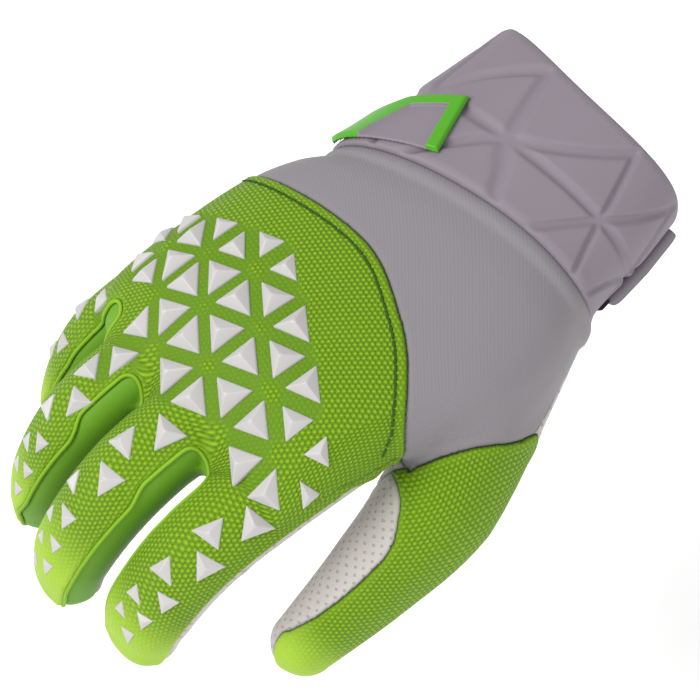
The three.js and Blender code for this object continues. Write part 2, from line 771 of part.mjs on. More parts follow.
// The strip of studs on each finger: how far along it each stud lies, how far aside as a share of
// its half-width, and its size as a share of studSide. They point towards the palm and away in turn.
const stripStuds = {
  index: [
    { share: 0.340, aside: -0.56, size: 0.84 },
    { share: 0.437, aside: -0.19, size: 0.74 },
    { share: 0.502, aside: -0.58, size: 0.74 },
    { share: 0.596, aside: -0.07, size: 0.66 },
    { share: 0.660, aside: -0.50, size: 0.60 },
    { share: 0.722, aside: 0.10, size: 0.46 },
    { share: 0.760, aside: -0.36, size: 0.48 },
    { share: 0.800, aside: 0.18, size: 0.38 },
    { share: 0.840, aside: -0.20, size: 0.38 },
  ],
  middle: [
    { share: 0.318, aside: -0.25, size: 0.86 },
    { share: 0.418, aside: 0.20, size: 0.76 },
    { share: 0.499, aside: -0.16, size: 0.76 },
    { share: 0.592, aside: 0.44, size: 0.60 },
    { share: 0.662, aside: 0.00, size: 0.58 },
    { share: 0.722, aside: 0.46, size: 0.44 },
    { share: 0.755, aside: -0.14, size: 0.42 },
    { share: 0.797, aside: 0.30, size: 0.36 },
    { share: 0.832, aside: -0.22, size: 0.38 },
    { share: 0.867, aside: 0.20, size: 0.34 },
  ],
  ring: [
    { share: 0.440, aside: -0.30, size: 0.70 },
    { share: 0.530, aside: 0.20, size: 0.60 },
    { share: 0.600, aside: -0.34, size: 0.52 },
    { share: 0.662, aside: 0.06, size: 0.46 },
    { share: 0.712, aside: -0.46, size: 0.46 },
    { share: 0.760, aside: 0.00, size: 0.40 },
    { share: 0.805, aside: -0.46, size: 0.40 },
  ],
  little: [
    { share: 0.34, aside: -0.20, size: 0.64 },
    { share: 0.46, aside: 0.28, size: 0.58 },
    { share: 0.57, aside: -0.22, size: 0.52 },
    { share: 0.67, aside: 0.20, size: 0.46 },
  ],
};

function studSolid(corners, height, sink) {
  const up = new THREE.Vector3()
    .crossVectors(corners[1].clone().sub(corners[0]), corners[2].clone().sub(corners[0]))
    .normalize();
  const middle = corners[0].clone().add(corners[1]).add(corners[2]).divideScalar(3);
  const foot = corners.map((corner) => corner.clone().addScaledVector(up, -sink));
  const tip = corners
    .map((corner) => corner.clone().lerp(middle, 1 - studTip).addScaledVector(up, height));
  return solidOf(loft([foot, tip]));
}

const bothSides = new THREE.MeshBasicMaterial({ side: THREE.DoubleSide });
const panelMesh = new THREE.Mesh(geometryOf(outerHand), bothSides);
const ray = new THREE.Raycaster();
const down = new THREE.Vector3(0, 0, -1);

function onBack(x, y) {
  ray.set(new THREE.Vector3(x, y, handDepth * 2), down);
  const [hit] = ray.intersectObject(panelMesh);
  return hit ? hit.point : null;
}

const wrapped = (across) => fieldCentre + fieldWrap * Math.sin((across - fieldCentre) / fieldWrap);

function fieldPoint(forward, aside) {
  return fieldTerms.reduce((point, term) => {
    const steps = forward ** term.forward * aside ** term.aside;
    return planPoint(term).multiplyScalar(steps).add(point);
  }, planPoint(fieldOrigin));
}

// A foot that would miss the hand's side is drawn in towards its stud's centre.
function footOnBack(corner, centre) {
  const [foot] = [1, 0.85, 0.7, 0.55, 0.4]
    .map((share) => centre.clone().lerp(corner, share))
    .map((spot) => onBack(wrapped(spot.x), spot.y))
    .filter((hit) => hit && hit.z > fieldFloor);
  return foot;
}

function fieldStud(forward, halfStep, share) {
  const step = Math.floor(halfStep / 2);
  const odd = halfStep - step * 2;
  const third = (1 + odd) / 3;
  const corners = [
    odd ? fieldPoint(forward + 1, step + 1) : fieldPoint(forward, step),
    fieldPoint(forward + 1, step),
    fieldPoint(forward, step + 1),
  ];
  const centre = fieldPoint(forward + third, step + third);
  const size = studSide * share;
  const feet = corners
    .map((corner) => corner.sub(centre).setLength(size / Math.sqrt(3)).add(centre))
    .map((corner) => footOnBack(corner, centre));
  return { corners: feet, size };
}

const liesOnHand = ({ corners }) => corners.every(Boolean);
const fieldStuds = fieldRows
  .flatMap(({ forward, first, sizes }) => sizes.map((share, i) => fieldStud(forward, first + i, share)))
  .filter(liesOnHand);

function facingOut(corners, outward) {
  const normal = new THREE.Vector3()
    .crossVectors(corners[1].clone().sub(corners[0]), corners[2].clone().sub(corners[0]));
  return normal.dot(outward) > 0 ? corners : [corners[0], corners[2], corners[1]];
}

// The height at which a stud's foot clears the curved fabric below it.
function liftedClear(corners) {
  const middle = corners[0].clone().add(corners[1]).add(corners[2]).divideScalar(3);
  const spots = [middle];
  corners.forEach((corner, i) => {
    const next = corners[(i + 1) % 3];
    [0.2, 0.4, 0.6, 0.8].forEach((share) => {
      const rim = corner.clone().lerp(next, share);
      spots.push(rim, rim.clone().lerp(middle, 0.33), rim.clone().lerp(middle, 0.67));
    });
    spots.push(corner, corner.clone().lerp(middle, 0.33));
  });
  const crown = Math.max(0, ...spots.map((spot) => {
    const fabric = onBack(spot.x, spot.y);
    return fabric ? fabric.z - spot.z : 0;
  }));
  const up = new THREE.Vector3()
    .crossVectors(corners[1].clone().sub(corners[0]), corners[2].clone().sub(corners[0]))
    .normalize();
  return corners.map((corner) => corner.clone().addScaledVector(up, crown * up.z + seamGap));
}

const upward = new THREE.Vector3(0, 0, 1);
const field = fieldStuds.map(({ corners, size }) => {
  const lifted = liftedClear(facingOut(corners, upward));
  return studSolid(lifted, studHeight * (size / studSide), 0);
});

const stripTurn = 45;

function stripSolids(name) {
  const digit = digits[name];
  const stations = digitPath(digit, [10, 10, 5]);
  const lengths = [0];
  for (let i = 1; i < stations.length; i += 1) {
    lengths.push(lengths[i - 1] + stations[i].centre.distanceTo(stations[i - 1].centre));
  }
  const stationAt = (distance) => {
    const next = lengths.findIndex((length) => length >= distance);
    return stations[next < 0 ? stations.length - 1 : next];
  };
  return stripStuds[name].map(({ share, aside, size }, k) => {
    const reach = (studSide * size) / Math.sqrt(3);
    const corners = [0, 1, 2].map((corner) => {
      const turn = (stripTurn + 180 * ((k + 1) % 2) + corner * 120) * degrees;
      const station = stationAt(digit.length * share + reach * Math.cos(turn));
      const across = aside + (reach * Math.sin(turn)) / station.half;
      const angle = Math.asin(THREE.MathUtils.clamp(across, -0.92, 0.92)) / degrees;
      return digitPoint(station, angle, 0);
    });
    const facing = facingOut(corners, stationAt(digit.length * share).up);
    return studSolid(facing, studHeight * size, fabricWall / 2);
  });
}

const strips = Object.keys(stripStuds).flatMap(stripSolids);
const raised = joined(strips)
  .subtract(slotRegions(seamGap))
  .subtract(thumbRegion(seamGap))
  .subtract(webShell);
panels.back_panel = panels.back_panel.add(raised);
Object.entries(panels).forEach(([name, solid]) => {
  addPiece(name, solid, panelMaterials[name] ?? 'gusset');
});
field.forEach((solid, i) => {
  addPiece(`stud_${String(i + 1).padStart(2, '0')}`, solid, 'stud');
});

export default glove;
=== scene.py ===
# Motocross glove, right hand: the sewn panels, cuff, studs and badge, finished over the frame.
# Lengths are in millimetres until a mesh is made. The origin is the centre of the wrist opening,
# +Y runs towards the fingertips, +Z is the back of the hand and -X is the thumb's side.
import math

import bmesh
import bpy
import numpy as np
import openvdb
from mathutils import Matrix, Vector, kdtree
from mathutils.bvhtree import BVHTree


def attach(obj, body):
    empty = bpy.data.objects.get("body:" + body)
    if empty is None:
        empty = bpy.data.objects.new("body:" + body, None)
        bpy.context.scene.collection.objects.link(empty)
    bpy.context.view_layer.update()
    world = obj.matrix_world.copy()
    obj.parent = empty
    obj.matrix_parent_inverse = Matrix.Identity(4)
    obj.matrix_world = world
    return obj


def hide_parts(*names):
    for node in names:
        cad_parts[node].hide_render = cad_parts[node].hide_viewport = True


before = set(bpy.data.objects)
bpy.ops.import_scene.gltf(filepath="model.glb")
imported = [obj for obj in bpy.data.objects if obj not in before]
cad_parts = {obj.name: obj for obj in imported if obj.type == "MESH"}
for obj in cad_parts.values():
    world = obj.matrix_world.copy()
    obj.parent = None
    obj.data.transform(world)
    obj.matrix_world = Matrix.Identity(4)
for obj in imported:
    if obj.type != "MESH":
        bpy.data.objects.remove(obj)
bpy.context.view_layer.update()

MM = 0.001
DEG = math.pi / 180

# Sizes shared with the solids
HAND_LENGTH, HAND_WIDTH, HAND_DEPTH = 150, 102, 46
CUFF_LENGTH, FABRIC_START = 45, 37
SEAM_GAP, CUFF_WALL, CUFF_RELIEF = 0.3, 2.4, 0.7
STRAP_WALL, STRAP_WIDTH, STRAP_START, STRAP_FOLD = 2.2, 30, 4, 7
STUD_SIDE, STUD_HEIGHT, STUD_TIP, STUD_SPREAD = 11.2, 2.8, 0.14, 1.05
FINGER_WIDTH, FINGER_DEPTH = 25.2, 22.8
THUMB_WIDTH, THUMB_DEPTH = 40, 34
HAND_ROUNDNESS, DIGIT_ROUNDNESS = 2.45, 2.35

# The hand's sections. Lengths along are shares of the hand's length, centre and half of its width,
# rise, fall and tilt of its depth. Slant and bow lean a section forward at its sides.
SECTION_COLUMNS = ("along", "centre", "half", "rise", "fall", "tilt", "slant", "bow")
HAND_SECTIONS = (
    (-0.040, 0.000, 0.335, 0.460, 0.460, 0.00, -0.10, -0.25),
    (0.000, 0.000, 0.341, 0.463, 0.463, 0.00, -0.10, -0.25),
    (0.140, 0.010, 0.376, 0.467, 0.463, 0.00, 0.00, 0.00),
    (0.290, 0.034, 0.412, 0.485, 0.455, 0.00, 0.14, 0.23),
    (0.400, 0.042, 0.490, 0.530, 0.450, 0.00, 0.08, 0.12),
    (0.530, 0.070, 0.520, 0.545, 0.430, 0.02, 0.00, 0.00),
    (0.665, 0.130, 0.512, 0.540, 0.360, 0.07, 0.00, 0.00),
    (0.800, 0.187, 0.494, 0.480, 0.300, 0.14, 0.00, 0.00),
    (0.890, 0.205, 0.474, 0.370, 0.270, 0.16, -0.04, 0.00),
    (0.955, 0.178, 0.420, 0.250, 0.240, 0.13, -0.06, 0.00),
    (0.990, 0.130, 0.340, 0.130, 0.160, 0.08, -0.06, 0.00),
    (1.010, 0.120, 0.250, 0.040, 0.060, 0.05, -0.06, 0.00),
)

FINGERS = ("index", "middle", "ring", "little")
FINGER_SIZE = dict(width=FINGER_WIDTH, depth=FINGER_DEPTH)
# The digits: knuckle (across, along and up as shares of the hand, width, depth), then a row for
# each bone: how far it turns sideways and bends down, its share of the length, width, depth.
DIGITS = {
    "index": dict(FINGER_SIZE, length=97, roll=-4, knuckle=(-0.184, 0.787, 0.080, 1.04, 1.04), bones=(
        (13, 13, 0.490, 1.04, 1.04), (13, 41, 0.325, 0.98, 0.93), (12, 63, 0.105, 0.88, 0.82))),
    "middle": dict(FINGER_SIZE, length=102, roll=3, knuckle=(0.118, 0.787, 0.152, 1.00, 1.00), bones=(
        (11.5, 14, 0.490, 1.00, 1.00), (13, 43, 0.330, 0.95, 0.88), (12, 66, 0.105, 0.88, 0.80))),
    "ring": dict(FINGER_SIZE, length=93, roll=14, knuckle=(0.372, 0.787, 0.022, 0.95, 0.96), bones=(
        (14, 17, 0.490, 0.95, 0.96), (15, 49, 0.325, 0.90, 0.85), (12, 70, 0.105, 0.84, 0.78))),
    "little": dict(FINGER_SIZE, length=72, roll=28, knuckle=(0.572, 0.720, -0.152, 0.85, 0.88), bones=(
        (17, 23, 0.500, 0.84, 0.86), (13, 50, 0.300, 0.79, 0.77), (8, 70, 0.100, 0.74, 0.70))),
    "thumb": dict(width=THUMB_WIDTH, depth=THUMB_DEPTH, length=127, roll=-72,
                  knuckle=(-0.255, 0.333, -0.174, 0.88, 0.90), bones=(
        (-16, 12, 0.490, 0.84, 0.98), (2, 20, 0.225, 0.64, 0.78), (8, 22, 0.225, 0.48, 0.54))),
}

# Slots between the fingers: the fingers beside each, the angles round them where its gusset
# begins, its end as shares of width and length, its half-width, and the height, as a share of the
# hand's depth, below which the palm takes over. Every gusset ends at the same angle.
SLOTS = {
    "index_middle": dict(sides=("index", "middle"), turns=(52, 59), end=(0.055, 1.020),
                         half=4.0, floor=-0.04),
    "middle_ring": dict(sides=("middle", "ring"), turns=(80, 53), end=(0.372, 0.996),
                        half=3.8, floor=-0.12),
    "ring_little": dict(sides=("ring", "little"), turns=(78, 50), end=(0.581, 0.905),
                        half=3.4, floor=-0.32),
}
SLOT_LEAN, SLOT_LENGTH, SLOT_TURN_TO = (0.2, 1.0), 14, 122

# The stretch fabric wraps under the hand on the thumb's side as far as this share of its depth,
# and its edge rises to the hand's side between these lengths.
RADIAL_UNDERSIDE, RADIAL_RISE = -0.72, (117, 133)

# Seams in plan, as shares of the hand's width and length, with the far corners of what they close
BACK_SEAM = (
    (0.80, 0.545), (0.44, 0.518), (0.19, 0.507), (0.04, 0.521),
    (-0.11, 0.573), (-0.198, 0.614), (-0.271, 0.665), (-0.326, 0.714), (-0.344, 0.735), (-0.356, 0.778),
)
BACK_SEAM_FAR = ((-1, 0.778), (-1, 0), (1, 0), (1, 0.56))
THUMB_SEAM = (
    (-0.352, 0.800), (-0.356, 0.738), (-0.387, 0.705), (-0.448, 0.638), (-0.506, 0.551), (-0.495, 0.415),
)
THUMB_SEAM_FAR = ((-1, 0.415), (-1, 0.80))

# On the thumb's side the back seam moves outwards by this share of the width as it runs down
SEAM_TUCK, SEAM_TUCK_TOP, SEAM_TUCK_DEPTH, SEAM_TUCK_MOST = 0.033, 6, 11, 1.4

# What else belongs to the thumb: beside and under the index finger, and the low corner between them
THUMB_BESIDE = ((-1, 0.79), (-0.345, 0.79), (-0.36, 0.82), (-0.42, 1.3), (-1, 1.3))
THUMB_UNDER = ((-1, 0.79), (-0.21, 0.79), (-0.21, 1.3), (-1, 1.3))
THUMB_CORNER = ((-0.400, 0.712), (-0.347, 0.732), (-0.308, 0.755), (-0.255, 0.80), (-0.40, 0.80))
THUMB_UNDER_TOP, THUMB_CORNER_TOP = -0.19, -5.4

# The thumb's mesh runs round it from one angle to another, which changes along the thumb
THUMB_MESH_FROM = -82
THUMB_MESH_TO = (
    (0.470, 128), (0.495, 108), (0.510, 96), (0.530, 88), (0.567, 78), (0.608, 66), (0.650, 62),
    (0.720, 63.5), (0.786, 67), (0.855, 74), (0.926, 89), (0.950, 99),
)

# The angles round the hand, and round each finger, where the back gives way to the palm
BACK_EDGE_RADIAL, BACK_EDGE_ULNAR = -88, 98
FINGER_EDGES = {"index": (BACK_EDGE_RADIAL, 90), "middle": (-90, 90), "ring": (-90, 90),
                "little": (-90, BACK_EDGE_ULNAR - 4)}

# Where the knit fades into plain fabric towards a digit's tip, as shares of its length
TIP_FROM = {"thumb": (0.84, 0.98), "index": (0.68, 0.90)}
OTHER_TIPS_FROM = (0.62, 0.86)

# The cloth's coordinates turn down the hand's sides, and the palm's lean with its height
CLOTH_SIDE, CLOTH_FOLD = 0.86, 0.62
PALM_LEAN, PALM_HALF = 0.6, 40

# The knuckles' field of studs: one in each triangle of a lattice that wraps round the hand. A
# lattice point is a sum of terms in its steps forward and aside: the power of each, then the
# term's shares of the hand's width and length.
FIELD_ORIGIN, FIELD_WRAP, FIELD_CENTRE = (0.146, 0.766), 0.608, 0.19
FIELD_TERMS = (
    (1, 0, 0.0461, 0.1066), (0, 1, -0.1447, 0.0733), (2, 0, 0.0026, 0.0028),
    (1, 1, 0.0052, 0.0023), (0, 2, -0.0054, -0.0008),
)
# Steps forward, first half-step aside, and each stud's size as a share of the largest
FIELD_ROWS = (
    (-1, -3, (0.76, 0.76, 0.95, 1, 1, 1, 0.9, 0.76, 0.58)),
    (0, -5, (0.74, 0.82, 1, 1, 1, 1, 1, 1, 1, 1)),
    (1, -7, (0.7, 0.9, 1, 1, 1, 1, 1, 1)),
    (2, -8, (0.62, 0.7, 0.8)),
    (2, -4, (0.86, 0.9)),
    (3, -4, (0.82,)),
)
# Each finger's strip of studs: how far along it each lies, how far aside as a share of its
# half-width, and its size as a share of the largest
STRIPS = {
    "index": ((0.340, -0.56, 0.84), (0.437, -0.19, 0.74), (0.502, -0.58, 0.74), (0.596, -0.07, 0.66),
              (0.660, -0.50, 0.60), (0.722, 0.10, 0.46), (0.760, -0.36, 0.48), (0.800, 0.18, 0.38),
              (0.840, -0.20, 0.38)),
    "middle": ((0.318, -0.25, 0.86), (0.418, 0.20, 0.76), (0.499, -0.16, 0.76), (0.592, 0.44, 0.60),
               (0.662, 0.00, 0.58), (0.722, 0.46, 0.44), (0.755, -0.14, 0.42), (0.797, 0.30, 0.36),
               (0.832, -0.22, 0.38), (0.867, 0.20, 0.34)),
    "ring": ((0.440, -0.30, 0.70), (0.530, 0.20, 0.60), (0.600, -0.34, 0.52), (0.662, 0.06, 0.46),
             (0.712, -0.46, 0.46), (0.760, 0.00, 0.40), (0.805, -0.46, 0.40)),
    "little": ((0.34, -0.20, 0.64), (0.46, 0.28, 0.58), (0.57, -0.22, 0.52), (0.67, 0.20, 0.46)),
}
STRIP_TURN = 45


def hermite_columns(rows, shares):
    """Every column of the section table at many shares of the length, smooth between its rows."""
    table = np.array(rows, float)
    along = table[:, 0]
    low = np.clip(np.searchsorted(along, shares, side="right") - 1, 0, len(along) - 2)
    a, b = table[low], table[low + 1]
    before, after = table[np.maximum(low - 1, 0)], table[np.minimum(low + 2, len(along) - 1)]
    span = (b[:, 0] - a[:, 0])[:, None]
    t = np.clip((shares - a[:, 0])[:, None] / span, 0, 1)
    slope_a = (b - before) / (b[:, :1] - before[:, :1]) * span
    slope_b = (after - a) / (after[:, :1] - a[:, :1]) * span
    t2, t3 = t * t, t * t * t
    values = ((2 * t3 - 3 * t2 + 1) * a + (t3 - 2 * t2 + t) * slope_a
              + (3 * t2 - 2 * t3) * b + (t3 - t2) * slope_b)
    return dict(zip(SECTION_COLUMNS, values.T))


SHARES = np.linspace(HAND_SECTIONS[0][0], HAND_SECTIONS[-1][0], 420)
SECTION = hermite_columns(HAND_SECTIONS, SHARES)


def section(column, share):
    return np.interp(share, SHARES, SECTION[column])


def rounded_box(angle, roundness):
    """The side and top of a rounded box section at an angle from its top, in degrees."""
    s, c = np.sin(angle * DEG), np.cos(angle * DEG)
    return np.sign(s) * np.abs(s) ** (2 / roundness), np.sign(c) * np.abs(c) ** (2 / roundness)


def box_angle(side, top, roundness):
    """The angle, in degrees, whose rounded box point lies in the direction side, top."""
    return np.arctan2(np.sign(side) * np.abs(side) ** (roundness / 2),
                      np.sign(top) * np.abs(top) ** (roundness / 2)) / DEG


def hand_point(along, angle, lift):
    """A point of the hand's surface, lifted off it."""
    along, angle, lift = np.broadcast_arrays(np.asarray(along, float), angle, lift)
    share = along / HAND_LENGTH
    side, top = rounded_box(angle, HAND_ROUNDNESS)
    height = np.where(top > 0, section("rise", share), section("fall", share)) * HAND_DEPTH + lift
    x = section("centre", share) * HAND_WIDTH + (section("half", share) * HAND_WIDTH + lift) * side
    z = height * top - section("tilt", share) * HAND_DEPTH * side
    y = along + section("slant", share) * x + section("bow", share) * x * x / HAND_WIDTH
    return np.stack([x, y, z], -1)


def hand_place(p):
    """Where points lie in the hand: their length along, side and top of its section, and size."""
    x, y, z = p.T
    along = y.copy()
    for _ in range(5):
        share = along / HAND_LENGTH
        along = y - section("slant", share) * x - section("bow", share) * x * x / HAND_WIDTH
    share = along / HAND_LENGTH
    half = section("half", share) * HAND_WIDTH
    side = (x - section("centre", share) * HAND_WIDTH) / half
    level = z + section("tilt", share) * HAND_DEPTH * np.clip(side, -1.2, 1.2)
    height = np.where(level > 0, section("rise", share), section("fall", share)) * HAND_DEPTH
    return along, side, level / height, half, height


def hand_distance(p):
    """How far points lie outside the hand, near its surface."""
    along, side, top, half, height = hand_place(p)
    reach = (np.abs(side) ** HAND_ROUNDNESS + np.abs(top) ** HAND_ROUNDNESS) ** (1 / HAND_ROUNDNESS)
    reach = np.maximum(reach, 1e-6)
    radius = np.hypot(side * half, top * height) / reach
    out = (reach - 1) * radius
    ends = np.maximum(along - HAND_SECTIONS[-1][0] * HAND_LENGTH, 20 - along)
    return np.maximum(out, ends)


def centripetal(points, share):
    """A point of the smooth curve through points, at a share of its way, and its direction."""
    points = [np.array(p, float) for p in points]
    place = min(share, 1 - 1e-9) * (len(points) - 1)
    i = int(place)
    t = place - i
    before = points[i - 1] if i > 0 else 2 * points[0] - points[1]
    after = points[i + 2] if i + 2 < len(points) else 2 * points[-1] - points[-2]
    p0, p1, p2, p3 = before, points[i], points[i + 1], after
    d0, d1, d2 = (np.sum((b - a) ** 2) ** 0.25 for a, b in ((p0, p1), (p1, p2), (p2, p3)))
    t1 = ((p1 - p0) / d0 - (p2 - p0) / (d0 + d1) + (p2 - p1) / d1) * d1
    t2 = ((p2 - p1) / d1 - (p3 - p1) / (d1 + d2) + (p3 - p2) / d2) * d1
    c2, c3 = -3 * p1 + 3 * p2 - 2 * t1 - t2, 2 * p1 - 2 * p2 + t1 + t2
    point = p1 + t1 * t + c2 * t * t + c3 * t ** 3
    direction = t1 + 2 * c2 * t + 3 * c3 * t * t
    return point, direction / np.linalg.norm(direction)


def digit_axis(digit, steps=8):
    """The digit's centre line: centres, frames, half-widths, half-depths and lengths."""
    across, along, up, width, depth = digit["knuckle"]
    at = np.array([across * HAND_WIDTH, along * HAND_LENGTH, up * HAND_DEPTH])
    joints, sizes = [at.copy()], [(width, depth)]
    for yaw, pitch, share, width, depth in digit["bones"]:
        reach = share * digit["length"]
        flat = math.cos(pitch * DEG) * reach
        at += (math.sin(yaw * DEG) * flat, math.cos(yaw * DEG) * flat, -math.sin(pitch * DEG) * reach)
        joints.append(at.copy())
        sizes.append((width, depth))
    bones = len(digit["bones"])
    spots = np.linspace(0, bones, bones * steps + 1)
    centre, direction = map(np.array, zip(*(centripetal(joints, s / bones) for s in spots)))
    sizes = np.array(sizes)
    half = np.interp(spots, range(bones + 1), sizes[:, 0]) * digit["width"] / 2
    deep = np.interp(spots, range(bones + 1), sizes[:, 1]) * digit["depth"] / 2
    rolled = np.array([math.sin(digit["roll"] * DEG), 0, math.cos(digit["roll"] * DEG)])
    up = rolled - direction * (direction @ rolled)[:, None]
    up /= np.linalg.norm(up, axis=1)[:, None]
    side = np.cross(direction, up)
    run = np.concatenate([[0], np.cumsum(np.linalg.norm(np.diff(centre, axis=0), axis=1))])
    return dict(centre=centre, along=direction, up=up, side=side, half=half, deep=deep, run=run)


AXES = {name: digit_axis(digit) for name, digit in DIGITS.items()}


def digit_place(p, axis):
    """Where points lie on a digit: length along it, side and top of its section, how far they
    pass its last station as a share of its rounded end, and the section's half-sizes."""
    start, reach = axis["centre"][:-1], np.diff(axis["centre"], axis=0)
    length2 = np.sum(reach ** 2, axis=1)
    best = np.full(len(p), np.inf)
    place = np.zeros(len(p))
    for i in range(len(start)):
        t = (p - start[i]) @ reach[i] / length2[i]
        inside = np.clip(t, 0, 1)
        gap = np.sum((p - start[i] - inside[:, None] * reach[i]) ** 2, axis=1)
        nearer = gap < best
        best[nearer] = gap[nearer]
        place[nearer] = i + inside[nearer]
    stations = np.arange(len(axis["half"]))

    def at(values):
        return np.stack([np.interp(place, stations, column) for column in values.T], -1)

    off = p - at(axis["centre"])
    half, deep = np.interp(place, stations, axis["half"]), np.interp(place, stations, axis["deep"])
    side = np.sum(off * at(axis["side"]), axis=1) / half
    top = np.sum(off * at(axis["up"]), axis=1) / deep
    forward = np.sum(off * at(axis["along"]), axis=1) / ((half + deep) / 2)
    return np.interp(place, stations, axis["run"]), side, top, forward, half, deep


def digit_distance(p, axis):
    """How far points lie outside a digit, near it, and a large number elsewhere."""
    low, high = axis["centre"].min(0) - DIGIT_MARGIN, axis["centre"].max(0) + DIGIT_MARGIN
    near = np.all((p > low) & (p < high), axis=1)
    away = np.full(len(p), 40.0)
    away[near] = digit_distance_near(p[near], axis)
    return away


def digit_distance_near(p, axis):
    run, side, top, forward, half, deep = digit_place(p, axis)
    flat = (np.abs(side) ** DIGIT_ROUNDNESS + np.abs(top) ** DIGIT_ROUNDNESS) ** (1 / DIGIT_ROUNDNESS)
    reach = np.maximum(np.sqrt(flat ** 2 + forward ** 2), 1e-6)
    radius = np.sqrt((side * half) ** 2 + (top * deep) ** 2 + (forward * (half + deep) / 2) ** 2) / reach
    return (reach - 1) * radius


def blended(a, b, reach):
    """The smaller of two distances, rounded where they meet."""
    share = np.clip(0.5 + 0.5 * (b - a) / reach, 0, 1)
    return b + (a - b) * share - reach * share * (1 - share)


def softly(x, low, high):
    t = np.clip((x - low) / (high - low), 0, 1)
    return t * t * (3 - 2 * t)


DIGIT_MARGIN = 34
FINGER_BLEND, THUMB_BLEND, WEB_BLEND, SLOT_BLEND, WEDGE_BLEND = 4.0, 9.0, 1.6, 5.0, 4


def glove_distance(p):
    """How far points lie outside the whole fabric hand."""
    fingers = digit_distance(p, AXES[FINGERS[0]])
    for name in FINGERS[1:]:
        fingers = blended(fingers, digit_distance(p, AXES[name]), WEB_BLEND)
    whole = blended(hand_distance(p), fingers, FINGER_BLEND)
    return blended(whole, digit_distance(p, AXES["thumb"]), THUMB_BLEND)


GRID_STEP = 0.9
GRID_LOW = np.array([-75.0, 26.0, -58.0])
GRID_HIGH = np.array([88.0, 212.0, 34.0])
COARSE, NEAR, FAR = 3, 5 * GRID_STEP, 6.0


def sculpt_skin():
    """The hand's surface as points and triangles, from its distances on a grid."""
    counts = np.ceil((GRID_HIGH - GRID_LOW) / GRID_STEP).astype(int)
    coarse = np.stack(np.meshgrid(*[
        (GRID_LOW[i] + GRID_STEP * np.arange(counts[i]))[::COARSE] for i in range(3)], indexing="ij"), -1)
    rough = glove_distance(coarse.reshape(-1, 3)).reshape(coarse.shape[:3])
    for axis in range(3):
        rough = rough.repeat(COARSE, axis)
    rough = rough[:counts[0], :counts[1], :counts[2]]
    near = np.abs(rough) < NEAR
    field = np.where(rough < 0, -FAR, FAR).astype(np.float32)
    field[near] = np.clip(glove_distance(GRID_LOW + np.argwhere(near) * GRID_STEP), -FAR, FAR)
    grid = openvdb.FloatGrid(FAR)
    grid.copyFromArray(np.ascontiguousarray(field))
    points, quads = grid.convertToQuads(0.0)
    points = GRID_LOW + np.asarray(points, float) * GRID_STEP
    quads = np.asarray(quads, np.int64)
    tris = np.concatenate([quads[:, [0, 1, 2]], quads[:, [0, 2, 3]]])
    for _ in range(2):
        value = glove_distance(points)
        slope = gradient(glove_distance, points)
        steepness = np.maximum(np.sum(slope ** 2, axis=1), 0.25)
        step = np.clip(value / steepness, -0.5, 0.5)
        points -= slope * step[:, None]
    face = points[tris]
    normal = np.cross(face[:, 1] - face[:, 0], face[:, 2] - face[:, 0])
    outward = np.sum(normal * gradient(glove_distance, face.mean(1)), axis=1).mean()
    return points, (tris if outward > 0 else tris[:, ::-1])


def gradient(distance, points, step=0.12):
    columns = []
    for axis in np.eye(3) * step:
        columns.append((distance(points + axis) - distance(points - axis)) / (2 * step))
    return np.stack(columns, -1)


def in_plan(shares):
    """Plan points in millimetres, from shares of the hand's width and length."""
    return np.array(shares, float) * (HAND_WIDTH, HAND_LENGTH)


def spline_points(rows, count):
    """A smooth plan line through shares of the hand's width and length, in millimetres."""
    points = in_plan(rows)
    line = []
    for place in np.linspace(0, len(points) - 1, count + 1):
        i = min(int(place), len(points) - 2)
        t = place - i
        p0, p1 = points[max(i - 1, 0)], points[i]
        p2, p3 = points[i + 1], points[min(i + 2, len(points) - 1)]
        v0, v1 = (p2 - p0) / 2, (p3 - p1) / 2
        bend, twist = -3 * p1 + 3 * p2 - 2 * v0 - v1, 2 * p1 - 2 * p2 + v0 + v1
        line.append(twist * t ** 3 + bend * t ** 2 + v0 * t + p1)
    return np.array(line)


def outline_distance(p, outline):
    """How far points lie outside a closed plan outline, negative inside it."""
    best = np.full(len(p), np.inf)
    inside = np.zeros(len(p), bool)
    flat = p[:, :2]
    for a, b in zip(outline, np.roll(outline, -1, axis=0)):
        reach = b - a
        t = np.clip((flat - a) @ reach / (reach @ reach), 0, 1)
        best = np.minimum(best, np.sum((flat - a - t[:, None] * reach) ** 2, axis=1))
        crosses = (a[1] > flat[:, 1]) != (b[1] > flat[:, 1])
        slope = (b[0] - a[0]) / (b[1] - a[1] if b[1] != a[1] else 1e-9)
        inside ^= crosses & (flat[:, 0] < a[0] + (flat[:, 1] - a[1]) * slope)
    return np.where(inside, -1, 1) * np.sqrt(best)


def stretch_distance(p):
    """How far points lie outside the stretch fabric behind the back seam."""
    place = p[:, :2].copy()
    low = np.clip((SEAM_TUCK_TOP - p[:, 2]) / SEAM_TUCK_DEPTH, 0, SEAM_TUCK_MOST)
    place[:, 0] -= np.where(place[:, 0] < 0, low * SEAM_TUCK * HAND_WIDTH, 0)
    return outline_distance(place, np.concatenate([spline_points(BACK_SEAM, 40), in_plan(BACK_SEAM_FAR)]))


def thumb_distance(p):
    """How far points lie outside the thumb's own panels."""
    behind = np.concatenate([spline_points(THUMB_SEAM, 30), in_plan(THUMB_SEAM_FAR)])
    under = outline_distance(p, in_plan(THUMB_UNDER))
    corner = outline_distance(p, in_plan(THUMB_CORNER))
    return np.min([
        outline_distance(p, behind), outline_distance(p, in_plan(THUMB_BESIDE)),
        np.maximum(under, p[:, 2] - THUMB_UNDER_TOP * HAND_DEPTH),
        np.maximum(corner, p[:, 2] - THUMB_CORNER_TOP)], axis=0)


